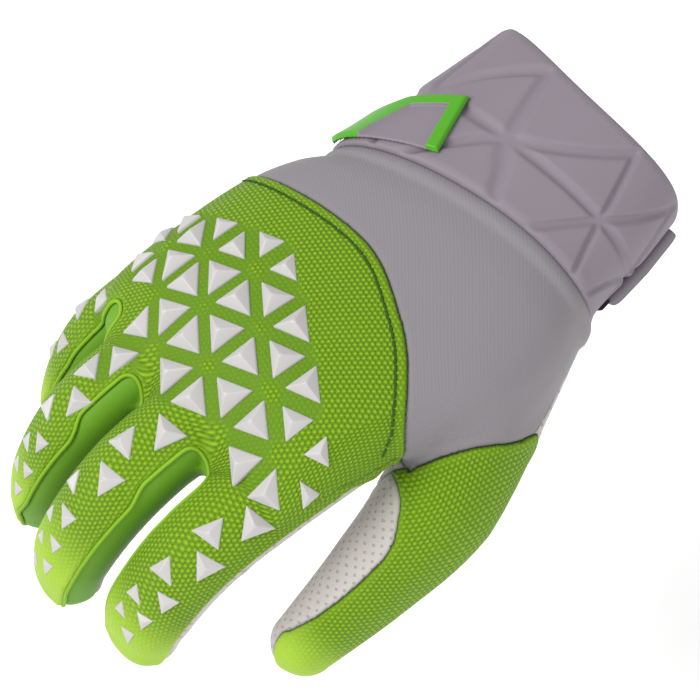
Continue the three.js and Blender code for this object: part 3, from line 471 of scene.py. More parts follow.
def digit_places(p):
    """For each digit, where points lie: length along it, angle round it, its radius there and
    how far past its end. Also how far they lie outside it."""
    places, gaps = {}, {}
    for name, axis in AXES.items():
        run, side, top, ahead, half, deep = digit_place(p, axis)
        places[name] = (run, box_angle(side, top, DIGIT_ROUNDNESS), (half + deep) / 2, ahead)
        gaps[name] = digit_distance(p, axis)
    return places, gaps


def nearest_other(gaps, name):
    return np.min([gaps[other] for other in gaps if other != name], axis=0)


def plain_tips(places, gaps):
    """1 where the knit has faded out at a digit's tip and its painted sheen highlight is full, 0 away from
    it.
    """
    nearest = np.min(list(gaps.values()), axis=0)
    tip = np.zeros(len(nearest))
    for name, (run, _, radius, ahead) in places.items():
        reach = (run + np.maximum(ahead, 0) * radius) / DIGITS[name]["length"]
        plain = softly(reach, *TIP_FROM.get(name, OTHER_TIPS_FROM))
        tip = np.where(gaps[name] <= nearest, plain, tip)
    return tip


def slot_distances(p, hand, places, gaps):
    """Signed distances to the slots between the fingers and to the gussets on the fingers' sides."""
    slots = {}
    lean = np.array(SLOT_LEAN) / math.hypot(*SLOT_LEAN)
    for name, slot in SLOTS.items():
        off = p[:, :2] - in_plan(slot["end"])
        t = np.clip(off @ lean, 0, SLOT_LENGTH)
        plan = np.linalg.norm(off - t[:, None] * lean, axis=1) - slot["half"]
        slots[name] = np.maximum(plan, slot["floor"] * HAND_DEPTH - p[:, 2])
        for digit, sign, turn_from in zip(slot["sides"], (1, -1), slot["turns"]):
            _, angle, radius, _ = places[digit]
            middle, spread = (turn_from + SLOT_TURN_TO) / 2, (SLOT_TURN_TO - turn_from) / 2
            arc = (np.abs(sign * angle - middle) - spread) * DEG * radius
            others = np.minimum(nearest_other(gaps, digit), hand)
            wedge = -blended(-arc, off @ lean, WEDGE_BLEND)
            wedge = np.maximum(wedge, (gaps[digit] - others) * 2)
            slots[name] = blended(slots[name], wedge, SLOT_BLEND)
    return slots


def measure_regions(p):
    """Signed distances of surface points to each region's edge, and their cloth coordinates."""
    along, side, top, half, height = hand_place(p)
    hand = hand_distance(p)
    places, gaps = digit_places(p)
    ulnar, radial = (-abs(math.cos(edge * DEG)) ** (2 / HAND_ROUNDNESS)
                     for edge in (BACK_EDGE_ULNAR, BACK_EDGE_RADIAL))
    under = radial + (RADIAL_UNDERSIDE - radial) * (1 - softly(along, *RADIAL_RISE))
    back = (np.where(side > 0, ulnar, under) - top) * height
    forward = along
    down = np.where(np.abs(side) > CLOTH_SIDE, height * (CLOTH_FOLD - np.clip(top, -1, CLOTH_FOLD)), 0)
    across = section("centre", along / HAND_LENGTH) * HAND_WIDTH + half * side + np.sign(side) * down
    for name, (low_edge, high_edge) in FINGER_EDGES.items():
        run, angle, radius, ahead = places[name]
        edge = np.where(angle > 0, angle - high_edge, low_edge - angle) * DEG * radius
        inside, clear = hand - gaps[name], nearest_other(gaps, name) - gaps[name]
        share = softly(inside, -3, 3) * softly(clear, -1.0, 0.4) * softly(run, 2, 12)
        back = back + (edge - back) * share
        knuckle = AXES[name]["centre"][0]
        share = softly(inside, -8, 8) * softly(clear, -5, 5) * softly(run, 2, 26)
        across = across + (knuckle[0] + angle * DEG * radius - across) * share
        forward = forward + (knuckle[1] + run + ahead * radius - forward) * share
    slots = slot_distances(p, hand, places, gaps)
    run, angle, radius, ahead = places["thumb"]
    mesh_to = np.interp(run / DIGITS["thumb"]["length"], *np.array(THUMB_MESH_TO).T)
    middle, spread = (THUMB_MESH_FROM + mesh_to) / 2, (mesh_to - THUMB_MESH_FROM) / 2
    palm_lean = PALM_LEAN * p[:, 2] * np.clip(p[:, 0] / PALM_HALF, -1, 1)
    return dict(
        back=back, stretch=stretch_distance(p), thumb=thumb_distance(p),
        mesh=(np.abs(angle - middle) - spread) * DEG * radius,
        slot=np.min(list(slots.values()), axis=0), **slots,
        start=FABRIC_START - along, cuff=along - CUFF_LENGTH,
        tip=plain_tips(places, gaps), press=pressed_bands(p) * softly(top, *PRESS_TOP),
        across=across, forward=forward, palm_across=p[:, 0] - palm_lean, palm_forward=forward,
        thumb_across=angle * DEG * radius, thumb_forward=run + ahead * radius)


def field_point(forward, aside):
    """A point of the studs' lattice, in millimetres."""
    point = np.array(FIELD_ORIGIN)
    for forward_power, aside_power, across, along in FIELD_TERMS:
        point = point + np.array([across, along]) * forward ** forward_power * aside ** aside_power
    return in_plan(point)


def field_cells():
    """Each stud of the field: its centre, its three feet before they wrap, and its size."""
    for forward, first, sizes in FIELD_ROWS:
        for i, share in enumerate(sizes):
            step, odd = divmod(first + i, 2)
            centre = field_point(forward + (1 + odd) / 3, step + (1 + odd) / 3)
            knots = [field_point(forward + odd, step + odd), field_point(forward + 1, step),
                     field_point(forward, step + 1)]
            reach = STUD_SIDE * STUD_SPREAD * share / math.sqrt(3)
            feet = [centre + (knot - centre) / np.linalg.norm(knot - centre) * reach for knot in knots]
            yield centre, feet, STUD_SIDE * share


PRESS_REACH, PRESS_TOP = (4.6, 6.2), (-0.2, 0.1)


def pressed_bands(p):
    """1 in the pressed bands between neighbouring studs, which are sunk and darkened with painted shade, 0
    away from them.
    """
    centre, wrap = FIELD_CENTRE * HAND_WIDTH, FIELD_WRAP * HAND_WIDTH
    flat = p.copy()
    flat[:, 0] = centre + wrap * np.arcsin(np.clip((p[:, 0] - centre) / wrap, -1, 1))
    first, second = np.full(len(p), 99.0), np.full(len(p), 99.0)
    for _, feet, _ in field_cells():
        gap = np.maximum(outline_distance(flat, np.array(feet)), 0)
        second = np.minimum(second, np.maximum(first, gap))
        first = np.minimum(first, gap)
    return 1 - softly(first + second, *PRESS_REACH)


SNAP = 0.12 * GRID_STEP


def clipped(data, tris, value, snap=SNAP):
    """The part of a mesh where value is at most nought, cut straight across its triangles."""
    value = np.where(np.abs(value) < snap, 0.0, value)
    inside = value <= 0
    count = inside[tris].sum(1)
    kept = [tris[count == 3]]
    pairs, faces = [], []
    for wanted, flag in ((1, True), (2, False)):
        group = tris[count == wanted]
        if not len(group):
            continue
        odd = np.argmax(inside[group] == flag, axis=1)
        rows = np.arange(len(group))
        a, b, c = group[rows, odd], group[rows, (odd + 1) % 3], group[rows, (odd + 2) % 3]
        pairs.append(np.concatenate([np.stack([a, b], 1), np.stack([a, c], 1)]))
        faces.append((flag, a, b, c))
    if not pairs:
        return compacted(data, kept[0])
    edges = np.sort(np.concatenate(pairs), axis=1)
    unique, place = np.unique(edges, axis=0, return_inverse=True)
    v0, v1 = value[unique[:, 0]], value[unique[:, 1]]
    spot = np.arange(len(unique)) + len(data)
    spot = np.where(v0 == 0, unique[:, 0], np.where(v1 == 0, unique[:, 1], spot))
    place = spot[place.reshape(-1)]
    t = (v0 / np.where(v0 == v1, 1, v0 - v1))[:, None]
    data = np.concatenate([data, data[unique[:, 0]] * (1 - t) + data[unique[:, 1]] * t])
    used = 0
    for flag, a, b, c in faces:
        ab, ac = place[used:used + len(a)], place[used + len(a):used + 2 * len(a)]
        used += 2 * len(a)
        if flag:
            kept.append(np.stack([a, ab, ac], 1))
        else:
            kept.append(np.stack([b, c, ac], 1))
            kept.append(np.stack([b, ac, ab], 1))
    return compacted(data, np.concatenate(kept))


def clipped_both(data, tris, value, snap=SNAP):
    """A whole mesh cut along the line where value is nought, and sewn up again."""
    first, faces = clipped(data, tris, value, snap)
    second, more = clipped(data, tris, -value, snap)
    both = np.concatenate([first, second])
    _, kept, place = np.unique(np.round(both, 6), axis=0, return_index=True, return_inverse=True)
    return both[kept], place.reshape(-1)[np.concatenate([faces, more + len(first)])]


def compacted(data, tris):
    """A mesh without its flat triangles and the points that no triangle uses."""
    good = (tris[:, 0] != tris[:, 1]) & (tris[:, 1] != tris[:, 2]) & (tris[:, 0] != tris[:, 2])
    used, index = np.unique(tris[good], return_inverse=True)
    return data[used], index.reshape(-1, 3)


def without_crumbs(data, tris):
    """A mesh without the small loose parts that a cut can leave."""
    group = np.arange(len(data))
    while True:
        lowest = group[tris].min(1)
        new = group.copy()
        for i in range(3):
            np.minimum.at(new, tris[:, i], lowest)
        new = new[new]
        if np.array_equal(new, group):
            break
        group = new
    names, counts = np.unique(group[tris[:, 0]], return_counts=True)
    kept = names[counts > 0.02 * counts.max()]
    return compacted(data, tris[np.isin(group[tris[:, 0]], kept)])


def border_of(tris):
    """The border edges of a mesh, as pairs of points."""
    edges = np.sort(np.concatenate([tris[:, [0, 1]], tris[:, [1, 2]], tris[:, [2, 0]]]), axis=1)
    unique, counts = np.unique(edges, axis=0, return_counts=True)
    return unique[counts == 1]


def border_distance(points, edges):
    """How far each point of a panel lies from its nearest border."""
    spots = np.concatenate([points[edges[:, 0]], points[edges].mean(1)])
    tree = kdtree.KDTree(len(spots))
    for i, spot in enumerate(spots):
        tree.insert(spot, i)
    tree.balance()
    return np.array([tree.find(point)[2] for point in points])


def normals_of(points, tris):
    """The mesh's normal at each point."""
    face = np.cross(points[tris[:, 1]] - points[tris[:, 0]], points[tris[:, 2]] - points[tris[:, 0]])
    normal = np.zeros_like(points)
    for i in range(3):
        np.add.at(normal, tris[:, i], face)
    return normal / np.maximum(np.linalg.norm(normal, axis=1), 1e-9)[:, None]


def make_mesh(name, points, faces, uv=None, values=None):
    """A mesh object from points in millimetres, with cloth coordinates and named values."""
    mesh = bpy.data.meshes.new(name)
    mesh.from_pydata((np.asarray(points) * MM).tolist(), [], [list(map(int, f)) for f in faces])
    mesh.validate()
    mesh.polygons.foreach_set("use_smooth", [True] * len(mesh.polygons))
    if uv is not None:
        layer = mesh.uv_layers.new(name="cloth")
        index = np.empty(len(mesh.loops), np.int64)
        mesh.loops.foreach_get("vertex_index", index)
        layer.data.foreach_set("uv", np.asarray(uv, np.float32)[index].ravel())
    for key, column in (values or {}).items():
        attribute = mesh.attributes.new(key, "FLOAT", "POINT")
        attribute.data.foreach_set("value", np.asarray(column, np.float32))
    mesh.update()
    piece = bpy.data.objects.new(name, mesh)
    bpy.context.scene.collection.objects.link(piece)
    return piece


def placed(piece, slot, material, *nodes):
    """The piece takes its material, rides with the glove and stands for its solids."""
    piece.data.materials.clear()
    piece.data.materials.append(material)
    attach(piece, "root")
    if nodes:
        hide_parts(*nodes)
    return piece


# Finishes. Each colour is linear.
# The knit's green is a lit colour and its shade a shaded colour: its weave paints light on the yarn and shade
# in the gaps.
MESH_LIT_GREEN, MESH_SHADE = (0.250, 0.440, 0.008, 1), (0.060, 0.155, 0.002, 1)
# The tips' lighter green is a painted sheen highlight on their plain fabric.
TIP_SHEEN_GREEN = (0.350, 0.540, 0.045, 1)
GUSSET_GREEN, GUSSET_SHADE = (0.155, 0.345, 0.008, 1), (0.085, 0.240, 0.005, 1)
# The stretch fabric's shade colour is also painted shade in the grooves between its ribs.
STRETCH_GREY, STRETCH_SHADE = (0.250, 0.232, 0.250, 1), (0.185, 0.171, 0.185, 1)
SUEDE_WHITE, SUEDE_SHADE = (0.560, 0.530, 0.500, 1), (0.400, 0.375, 0.350, 1)
CUFF_GREY, CUFF_SHADE = (0.240, 0.207, 0.243, 1), (0.190, 0.163, 0.193, 1)
STUD_SILVER, STUD_SHADE = (0.520, 0.505, 0.500, 1), (0.430, 0.415, 0.410, 1)
BADGE_GREEN, BADGE_SHADE = (0.085, 0.385, 0.012, 1), (0.060, 0.290, 0.008, 1)
THREAD_GREEN = (0.022, 0.070, 0.002, 1)
HOOK_BLACK, HOOK_SHADE = (0.012, 0.010, 0.012, 1), (0.004, 0.004, 0.004, 1)


def feed(tree, socket, value):
    """Sets a number or colour on the socket itself, and links another socket to it."""
    if isinstance(value, (int, float, tuple)):
        socket.default_value = value
    else:
        tree.links.new(value, socket)


def new_group(name, outputs, vector=None, **numbers):
    """A shader node group: a vector input, number inputs with their values, number outputs."""
    group = bpy.data.node_groups.new(name, "ShaderNodeTree")
    if vector:
        group.interface.new_socket(name=vector, in_out="INPUT", socket_type="NodeSocketVector")
    for label, value in numbers.items():
        socket = group.interface.new_socket(name=label, in_out="INPUT", socket_type="NodeSocketFloat")
        socket.default_value = value
    for label in outputs:
        group.interface.new_socket(name=label, in_out="OUTPUT", socket_type="NodeSocketFloat")
    return group, group.nodes.new("NodeGroupInput"), group.nodes.new("NodeGroupOutput")


def math_node(tree, operation, *values):
    """A math node fed by numbers or sockets."""
    node = tree.nodes.new("ShaderNodeMath")
    node.operation = operation
    for socket, value in zip(node.inputs, values):
        feed(tree, socket, value)
    return node.outputs[0]


def cloth_axes(group, start):
    """The two directions of a group's cloth coordinates."""
    split = group.nodes.new("ShaderNodeSeparateXYZ")
    group.links.new(start.outputs["Cloth"], split.inputs[0])
    return split.outputs["X"], split.outputs["Y"]


def cosine(group, place, pitch, halves=2):
    """A cosine along a place, with so many half-waves to a pitch."""
    share = math_node(group, "DIVIDE", place, pitch)
    return math_node(group, "COSINE", math_node(group, "MULTIPLY", share, halves * math.pi))


def smooth_ramp(group, value, low, high):
    """From 0 at low to 1 at high, eased at both."""
    ramp = group.nodes.new("ShaderNodeMapRange")
    ramp.interpolation_type = "SMOOTHSTEP"
    for label, fed in (("Value", value), ("From Min", low), ("From Max", high)):
        feed(group, ramp.inputs[label], fed)
    return ramp.outputs["Result"]


SLANT = 0.7071


def knit_group():
    """Round knit stitches in offset slanted rows: 0 in the gaps to 1 on the yarn."""
    group, start, end = new_group("knit stitches", ("Height",), "Cloth", Pitch=1.62, Row=1.3, Uneven=0.5)
    pitch, row = start.outputs["Pitch"], start.outputs["Row"]
    noise = group.nodes.new("ShaderNodeTexNoise")
    noise.inputs["Scale"].default_value = 0.3
    group.links.new(start.outputs["Cloth"], noise.inputs["Vector"])
    uneven = math_node(group, "SUBTRACT", noise.outputs["Fac"], 0.5)
    x, y = cloth_axes(group, start)
    x = math_node(group, "ADD", x, math_node(group, "MULTIPLY", uneven, start.outputs["Uneven"]))
    slanted, upright = (math_node(group, "MULTIPLY", math_node(group, kind, x, y), SLANT)
                        for kind in ("ADD", "SUBTRACT"))
    offset = math_node(group, "MULTIPLY", cosine(group, slanted, pitch), cosine(group, upright, row, 1))
    peaks = math_node(group, "MULTIPLY_ADD", offset, 2.0, cosine(group, upright, row))
    share = math_node(group, "DIVIDE", math_node(group, "ADD", peaks, 1.5), 4.5)
    yarn = math_node(group, "POWER", math_node(group, "MAXIMUM", share, 0.0), 0.6)
    group.links.new(yarn, end.inputs["Height"])
    return group


def pit_group():
    """Small round pits in offset rows: 1 in a pit, 0 between them."""
    group, start, end = new_group("pits", ("Hole",), "Cloth", Pitch=3.4)
    waves = [cosine(group, axis, start.outputs["Pitch"]) for axis in cloth_axes(group, start)]
    hole = smooth_ramp(group, math_node(group, "MULTIPLY", *waves), 0.72, 0.9)
    group.links.new(hole, end.inputs["Hole"])
    return group


def rib_group():
    """Fine slanted ribs across the cloth: their height, from 0 to 1."""
    group, start, end = new_group("fine ribs", ("Height",), "Cloth", Pitch=0.9)
    slanted = math_node(group, "MULTIPLY", math_node(group, "ADD", *cloth_axes(group, start)), SLANT)
    wave = cosine(group, slanted, start.outputs["Pitch"])
    group.links.new(math_node(group, "MULTIPLY_ADD", wave, 0.5, 0.5), end.inputs["Height"])
    return group


def grain_group():
    """Fine grain and broad unevenness of a surface, from 0 to 1, at sizes in millimetres."""
    group, start, end = new_group("grain", ("Fine", "Broad"), "Place", Fine=0.5, Broad=14.0)
    for label, detail in (("Fine", 3.0), ("Broad", 2.0)):
        noise = group.nodes.new("ShaderNodeTexNoise")
        noise.inputs["Detail"].default_value = detail
        group.links.new(start.outputs["Place"], noise.inputs["Vector"])
        group.links.new(math_node(group, "DIVIDE", 1000.0, start.outputs[label]), noise.inputs["Scale"])
        group.links.new(noise.outputs["Fac"], end.inputs[label])
    return group


def border_group():
    """How far a spot lies inside a panel's border: 0 at the seam, 1 past its width."""
    group, start, end = new_group("seam shade", ("Clear",), Edge=0.0, Width=0.9)
    clear = smooth_ramp(group, start.outputs["Edge"], 0.0, start.outputs["Width"])
    group.links.new(clear, end.inputs["Clear"])
    return group


GROUPS = {"knit": knit_group(), "ribs": rib_group(), "grain": grain_group(), "border": border_group(),
          "pits": pit_group()}


def use_group(tree, name, **links):
    """The outputs of a shared group whose inputs are fed by numbers or sockets."""
    node = tree.nodes.new("ShaderNodeGroup")
    node.node_tree = GROUPS[name]
    for label, value in links.items():
        feed(tree, node.inputs[label], value)
    return node.outputs


def mixed(tree, share, low, high):
    """A colour between two colours or sockets."""
    node = tree.nodes.new("ShaderNodeMix")
    node.data_type = "RGBA"
    for socket, value in zip([s for s in node.inputs if s.enabled], (share, low, high)):
        feed(tree, socket, value)
    return [s for s in node.outputs if s.enabled][0]


def attribute(tree, name):
    """A value that the mesh holds at each point."""
    node = tree.nodes.new("ShaderNodeAttribute")
    node.attribute_name = name
    return node.outputs["Fac"]


def cloth_place(tree):
    """The panel's own cloth coordinates, in millimetres."""
    node = tree.nodes.new("ShaderNodeUVMap")
    node.uv_map = "cloth"
    return node.outputs[0]


# How much of the weave the pressed bands and the tips lose, at most together, and what a hem keeps
PRESSED_PLAIN, TIP_PLAIN, PLAIN_MOST, HEM_KEEPS, HEM_REACH = 0.7, 0.75, 0.85, 0.35, 3.4
# How far the broad and the fine grain move the tone, and what a weave leaves of that
BROAD_TONE, FINE_TONE, WOVEN_TONE = 0.25, 0.35, 0.3
# How much painted shade darkens the pressed bands between the studs, how much of the painted sheen highlight
# the tips take, how deep the pits sink, and how much painted shade darkens the seams
PRESSED_PAINTED_SHADE, TIP_PAINTED_SHEEN, PIT_DEPTH, SEAM_PAINTED_SHADE = 0.5, 0.8, 0.35, 0.32


def finish(name, bright, shade, weave=None, weave_depth=0.3, weave_tone=0.75, weave_sizes=None,
           fine=0.5, fine_depth=0.04, roughness=0.8, sheen=0.0, specular=0.35, seam_painted_shade=0.0,
           marks=None, pits=0.0):
    """A procedural finish: a weave or grain that tones the colour and lifts the surface. A weave paints shade
    in its gaps and light on its yarn.
    """
    material = bpy.data.materials.new(name)
    material.use_nodes = True
    tree = material.node_tree
    shader = tree.nodes["Principled BSDF"]
    for label, value in (("Roughness", roughness), ("Sheen Weight", sheen), ("Sheen Roughness", 0.4),
                         ("Specular IOR Level", specular)):
        shader.inputs[label].default_value = value
    place = tree.nodes.new("ShaderNodeTexCoord").outputs["Object"]
    calm = 1.0
    # Marks is the tips' painted sheen colour; a finish with it also takes the pressed bands, the tips and the
    # hem.
    if marks:
        press, tip = (attribute(tree, key) for key in ("press", "tip"))
        tip_plain = math_node(tree, "MULTIPLY", tip, TIP_PLAIN)
        plain = math_node(tree, "MULTIPLY_ADD", press, PRESSED_PLAIN, tip_plain)
        calm = math_node(tree, "SUBTRACT", 1.0, math_node(tree, "MINIMUM", plain, PLAIN_MOST))
        hem = use_group(tree, "border", Edge=attribute(tree, "edge"), Width=HEM_REACH)["Clear"]
        hem = math_node(tree, "MULTIPLY_ADD", hem, 1 - HEM_KEEPS, HEM_KEEPS)
        calm = math_node(tree, "MULTIPLY", calm, hem)
    grain = use_group(tree, "grain", Place=place, Fine=fine)
    tone = math_node(tree, "MULTIPLY_ADD", grain["Broad"], BROAD_TONE, (1 - BROAD_TONE - FINE_TONE) / 2)
    tone = math_node(tree, "MULTIPLY_ADD", grain["Fine"], FINE_TONE, tone)
    height = math_node(tree, "MULTIPLY", grain["Fine"], fine_depth)
    if weave:
        cells = use_group(tree, weave, Cloth=cloth_place(tree), **(weave_sizes or {}))
        woven = math_node(tree, "MULTIPLY", math_node(tree, "SUBTRACT", cells["Height"], 0.5), calm)
        tone = math_node(tree, "MULTIPLY_ADD", tone, WOVEN_TONE, (1 - WOVEN_TONE) / 2)
        # The weave's height paints shade into its gaps and grooves and light onto its raised yarn.
        tone = math_node(tree, "MULTIPLY_ADD", woven, weave_tone, tone)
        height = math_node(tree, "MULTIPLY_ADD", woven, weave_depth, height)
    if pits:
        holes = use_group(tree, "pits", Cloth=cloth_place(tree))["Hole"]
        tone = math_node(tree, "MULTIPLY_ADD", holes, -pits, tone)
        height = math_node(tree, "MULTIPLY_ADD", holes, -PIT_DEPTH, height)
    colour = mixed(tree, tone, shade, bright)
    if marks:
        # Painted shade in the pressed bands between the studs
        colour = mixed(tree, math_node(tree, "MULTIPLY", press, PRESSED_PAINTED_SHADE), colour, shade)
        # A painted sheen highlight on the plain fabric at the tips
        colour = mixed(tree, math_node(tree, "MULTIPLY", tip, TIP_PAINTED_SHEEN), colour, marks)
    # Painted shade along the seams, darker than the shade colour
    if seam_painted_shade:
        clear = use_group(tree, "border", Edge=attribute(tree, "edge"))["Clear"]
        dark = tuple(c * (1 - seam_painted_shade) for c in shade[:3]) + (1,)
        colour = mixed(tree, clear, dark, colour)
    tree.links.new(colour, shader.inputs["Base Color"])
    bump = tree.nodes.new("ShaderNodeBump")
    bump.inputs["Distance"].default_value = MM
    bump.inputs["Strength"].default_value = 1.0
    tree.links.new(height, bump.inputs["Height"])
    tree.links.new(bump.outputs["Normal"], shader.inputs["Normal"])
    return material


FINISHES = {
    "mesh": finish("knuckle mesh", MESH_LIT_GREEN, MESH_SHADE, "knit", 0.6, 0.9, roughness=0.62, sheen=0.05,
                   specular=0.2, marks=TIP_SHEEN_GREEN, seam_painted_shade=SEAM_PAINTED_SHADE),
    "gusset": finish("gusset fabric", GUSSET_GREEN, GUSSET_SHADE, fine_depth=0.03, roughness=0.65,
                     sheen=0.1, seam_painted_shade=SEAM_PAINTED_SHADE),
    "stretch": finish("stretch fabric", STRETCH_GREY, STRETCH_SHADE, "ribs", 0.03, 0.12,
                      weave_sizes={"Pitch": 0.95}, roughness=0.78, sheen=0.15, seam_painted_shade=SEAM_PAINTED_SHADE),
    "suede": finish("suede", SUEDE_WHITE, SUEDE_SHADE, fine=0.6, fine_depth=0.08, roughness=0.92,
                    sheen=0.2, pits=0.8, seam_painted_shade=SEAM_PAINTED_SHADE),
    "piping": finish("piping fabric", MESH_LIT_GREEN, GUSSET_GREEN, fine=0.6, fine_depth=0.05, roughness=0.65),
    "cuff": finish("cuff rubber", CUFF_GREY, CUFF_SHADE, fine=0.35, fine_depth=0.03, roughness=0.62),
    "stud": finish("stud rubber", STUD_SILVER, STUD_SHADE, fine=0.3, fine_depth=0.01, roughness=0.38),
    "badge": finish("badge rubber", BADGE_GREEN, BADGE_SHADE, fine=0.4, fine_depth=0.01, roughness=0.4),
    "field": finish("badge field", CUFF_GREY, CUFF_SHADE, fine=0.4, fine_depth=0.03, roughness=0.6),
    "hook": finish("hook fabric", HOOK_BLACK, HOOK_SHADE, fine_depth=0.3, roughness=0.95),
    "thread": finish("green thread", THREAD_GREEN, THREAD_GREEN, fine=0.2, fine_depth=0.03, roughness=0.7),
}

# Panels: the regions that each lies inside (1) or outside (-1)
PANEL_LIMITS = {
    "back_panel": (("back", 1), ("slot", -1), ("thumb", -1), ("stretch", -1)),
    "hand_panel": (("back", 1), ("slot", -1), ("thumb", -1), ("stretch", 1)),
    "palm_panel": (("back", -1), ("slot", -1), ("thumb", -1)),
    "thumb_panel": (("thumb", 1), ("mesh", 1)),
    "thumb_front": (("thumb", 1), ("mesh", -1)),
}
# How far each stands proud of the fabric, the height of its rolled hem, and how deep its seam sinks
PANEL_LOOKS = {
    "back_panel": dict(finish="mesh", slot="knuckle_mesh", proud=0.45, hem=0.35, sink=0.6),
    "hand_panel": dict(finish="stretch", slot="stretch_fabric", proud=0.0, hem=0.0, sink=0.5),
    "palm_panel": dict(finish="suede", slot="suede", proud=0.1, hem=0.15, sink=0.6),
    "thumb_panel": dict(finish="mesh", slot="knuckle_mesh", proud=0.35, hem=0.3, sink=0.55),
    "thumb_front": dict(finish="suede", slot="suede", proud=0.1, hem=0.15, sink=0.6),
}
for pair in SLOTS:
    PANEL_LIMITS["gusset_" + pair] = ((pair, 1), ("thumb", -1))
    PANEL_LOOKS["gusset_" + pair] = dict(finish="gusset", slot="gusset_fabric", proud=-0.1, hem=0.0, sink=0.3)
HEM_AT, HEM_WIDTH, SINK_WIDTH, PANEL_WALL = 1.5, 1.0, 0.7, 1.1
PRESS_DEPTH, CUFF_RIDGE, CUFF_RIDGE_FALL, CUFF_RIDGE_RISE = 0.35, 1.1, (3.0, 5.6), (-2, 1.5)
PIPING_REACH, PIPING_SHORTEST, PIPING_SIDES, PIPING_RADIUS, PIPING_RISE = 0.2, 12, 10, 0.62, 0.3
PIPING_EASING, PIPING_END = 12, 0.4


def looped_faces(rings, sides, closed=False):
    """Quads between rings of points, and from the last ring to the first where closed."""
    faces = []
    for r in range(rings if closed else rings - 1):
        n = (r + 1) % rings
        for i in range(sides):
            j = (i + 1) % sides
            faces.append((r * sides + i, n * sides + i, n * sides + j, r * sides + j))
    return faces


def tube_faces(rings, sides, first=0):
    """The faces of a tube and of its two ends, counted from a first point."""
    ends = [list(range(sides)), list(reversed(range((rings - 1) * sides, rings * sides)))]
    return [[first + corner for corner in face] for face in looped_faces(rings, sides) + ends]


def ring_points(centre, side, up, radius, sides):
    """Points round a centre, which start at its side and turn towards its top."""
    turns = 2 * math.pi * np.arange(sides)[:, None] / sides
    return centre + radius * (side * np.cos(turns) + up * np.sin(turns))


def border_lines(edges):
    """The border's edges strung together into lines of points."""
    links = {}
    for a, b in edges.tolist():
        links.setdefault(a, []).append(b)
        links.setdefault(b, []).append(a)
    seen, lines = set(), []
    for start in [v for v in links if len(links[v]) == 1] + list(links):
        if start in seen:
            continue
        line = [start]
        seen.add(start)
        while onward := [v for v in links[line[-1]] if v not in seen]:
            line.append(onward[0])
            seen.add(onward[0])
        lines.append(line)
    return lines


def sew_piping(spots, normals, edges, slot):
    """The rolled piping along the slots between the fingers."""
    beside = np.abs(slot) < PIPING_REACH
    points, faces = [], []
    for line in border_lines(edges[beside[edges].all(1)]):
        if len(line) < PIPING_SHORTEST:
            continue
        path, up = spots[line], normals[line]
        for _ in range(PIPING_EASING):
            for row in (path, up):
                row[1:-1] = (row[:-2] + row[2:] + 2 * row[1:-1]) / 4
        along = np.gradient(path, axis=0)
        side = np.cross(along, up)
        side /= np.linalg.norm(side, axis=1)[:, None]
        up = np.cross(side, along)
        up /= np.linalg.norm(up, axis=1)[:, None]
        faces += tube_faces(len(path), PIPING_SIDES, len(points))
        for i, centre in enumerate(path + up * PIPING_RISE):
            radius = PIPING_RADIUS * (PIPING_END if i in (0, len(path) - 1) else 1)
            points += list(ring_points(centre, side[i], up[i], radius, PIPING_SIDES))
    placed(make_mesh("slot_piping", np.array(points), faces), "knuckle_mesh", FINISHES["piping"])


def sew_panels():
    """Cuts the skin into its panels, shapes their hems and seams, and places each piece."""
    points, tris = sculpt_skin()
    skin = BVHTree.FromPolygons(points.tolist(), tris.tolist())
    regions = measure_regions(points)
    data = np.concatenate([points, np.stack(list(regions.values()), 1)], 1)
    column = {name: 3 + i for i, name in enumerate(regions)}
    data, tris = clipped(data, tris, data[:, column["start"]])
    panels = {}
    for name, limits in PANEL_LIMITS.items():
        part, faces = data, tris
        for region, sign in limits:
            part, faces = clipped(part, faces, sign * part[:, column[region]])
        part, faces = without_crumbs(part, faces)
        look = PANEL_LOOKS[name]
        spots, border = part[:, :3], border_of(faces)
        edge, normals = border_distance(spots, border), normals_of(spots, faces)
        if name == "back_panel":
            sew_piping(spots, normals, border, part[:, column["slot"]])
        past, press = part[:, column["cuff"]], part[:, column["press"]]
        lift = (look["proud"] + look["hem"] * np.exp(-((edge - HEM_AT) / HEM_WIDTH) ** 2)
                - look["sink"] * np.exp(-(edge / SINK_WIDTH) ** 2)
                - PRESS_DEPTH * press * (look["finish"] == "mesh")
                + CUFF_RIDGE * (softly(past, *CUFF_RIDGE_RISE) - softly(past, *CUFF_RIDGE_FALL)))
        own = "thumb_" if name.startswith("thumb") else "palm_" if name == "palm_panel" else ""
        cloth = part[:, [column[own + "across"], column[own + "forward"]]]
        values = {"edge": edge, "press": press, "tip": part[:, column["tip"]]}
        piece = make_mesh(name + "_cloth", spots + normals * lift[:, None], faces, cloth, values)
        add_wall(piece, PANEL_WALL)
        placed(piece, look["slot"], FINISHES[look["finish"]], name)
        panels[name] = piece
    return panels, skin


def add_wall(piece, thickness):
    """Gives a piece a wall below its surface."""
    wall = piece.modifiers.new("wall", "SOLIDIFY")
    wall.thickness, wall.offset = thickness * MM, -1


panels, skin = sew_panels()


# Cuff. Its grooves run between knots in rows, each a turn round the cuff and a share of its length.
KNOT_TURN, TURN_LENGTH, KNOT_COUNT = 48, 0.75, 4
CHANNEL_DEPTH, CHANNEL_FLOOR, CHANNEL_EDGE = 1.1, 0.5, 2.4
CUFF_KNOTS = {"middle": (2, 0.58), "wrist": (12, 0.08), "far": (-15, 1.2)}
CUFF_TOP = SEAM_GAP + CUFF_WALL
CUFF_SIDES, CUFF_STEPS, CUFF_INNER_STEPS = 420, 72, 24
CUFF_LIP, CUFF_EASE = 1.1, 2.5


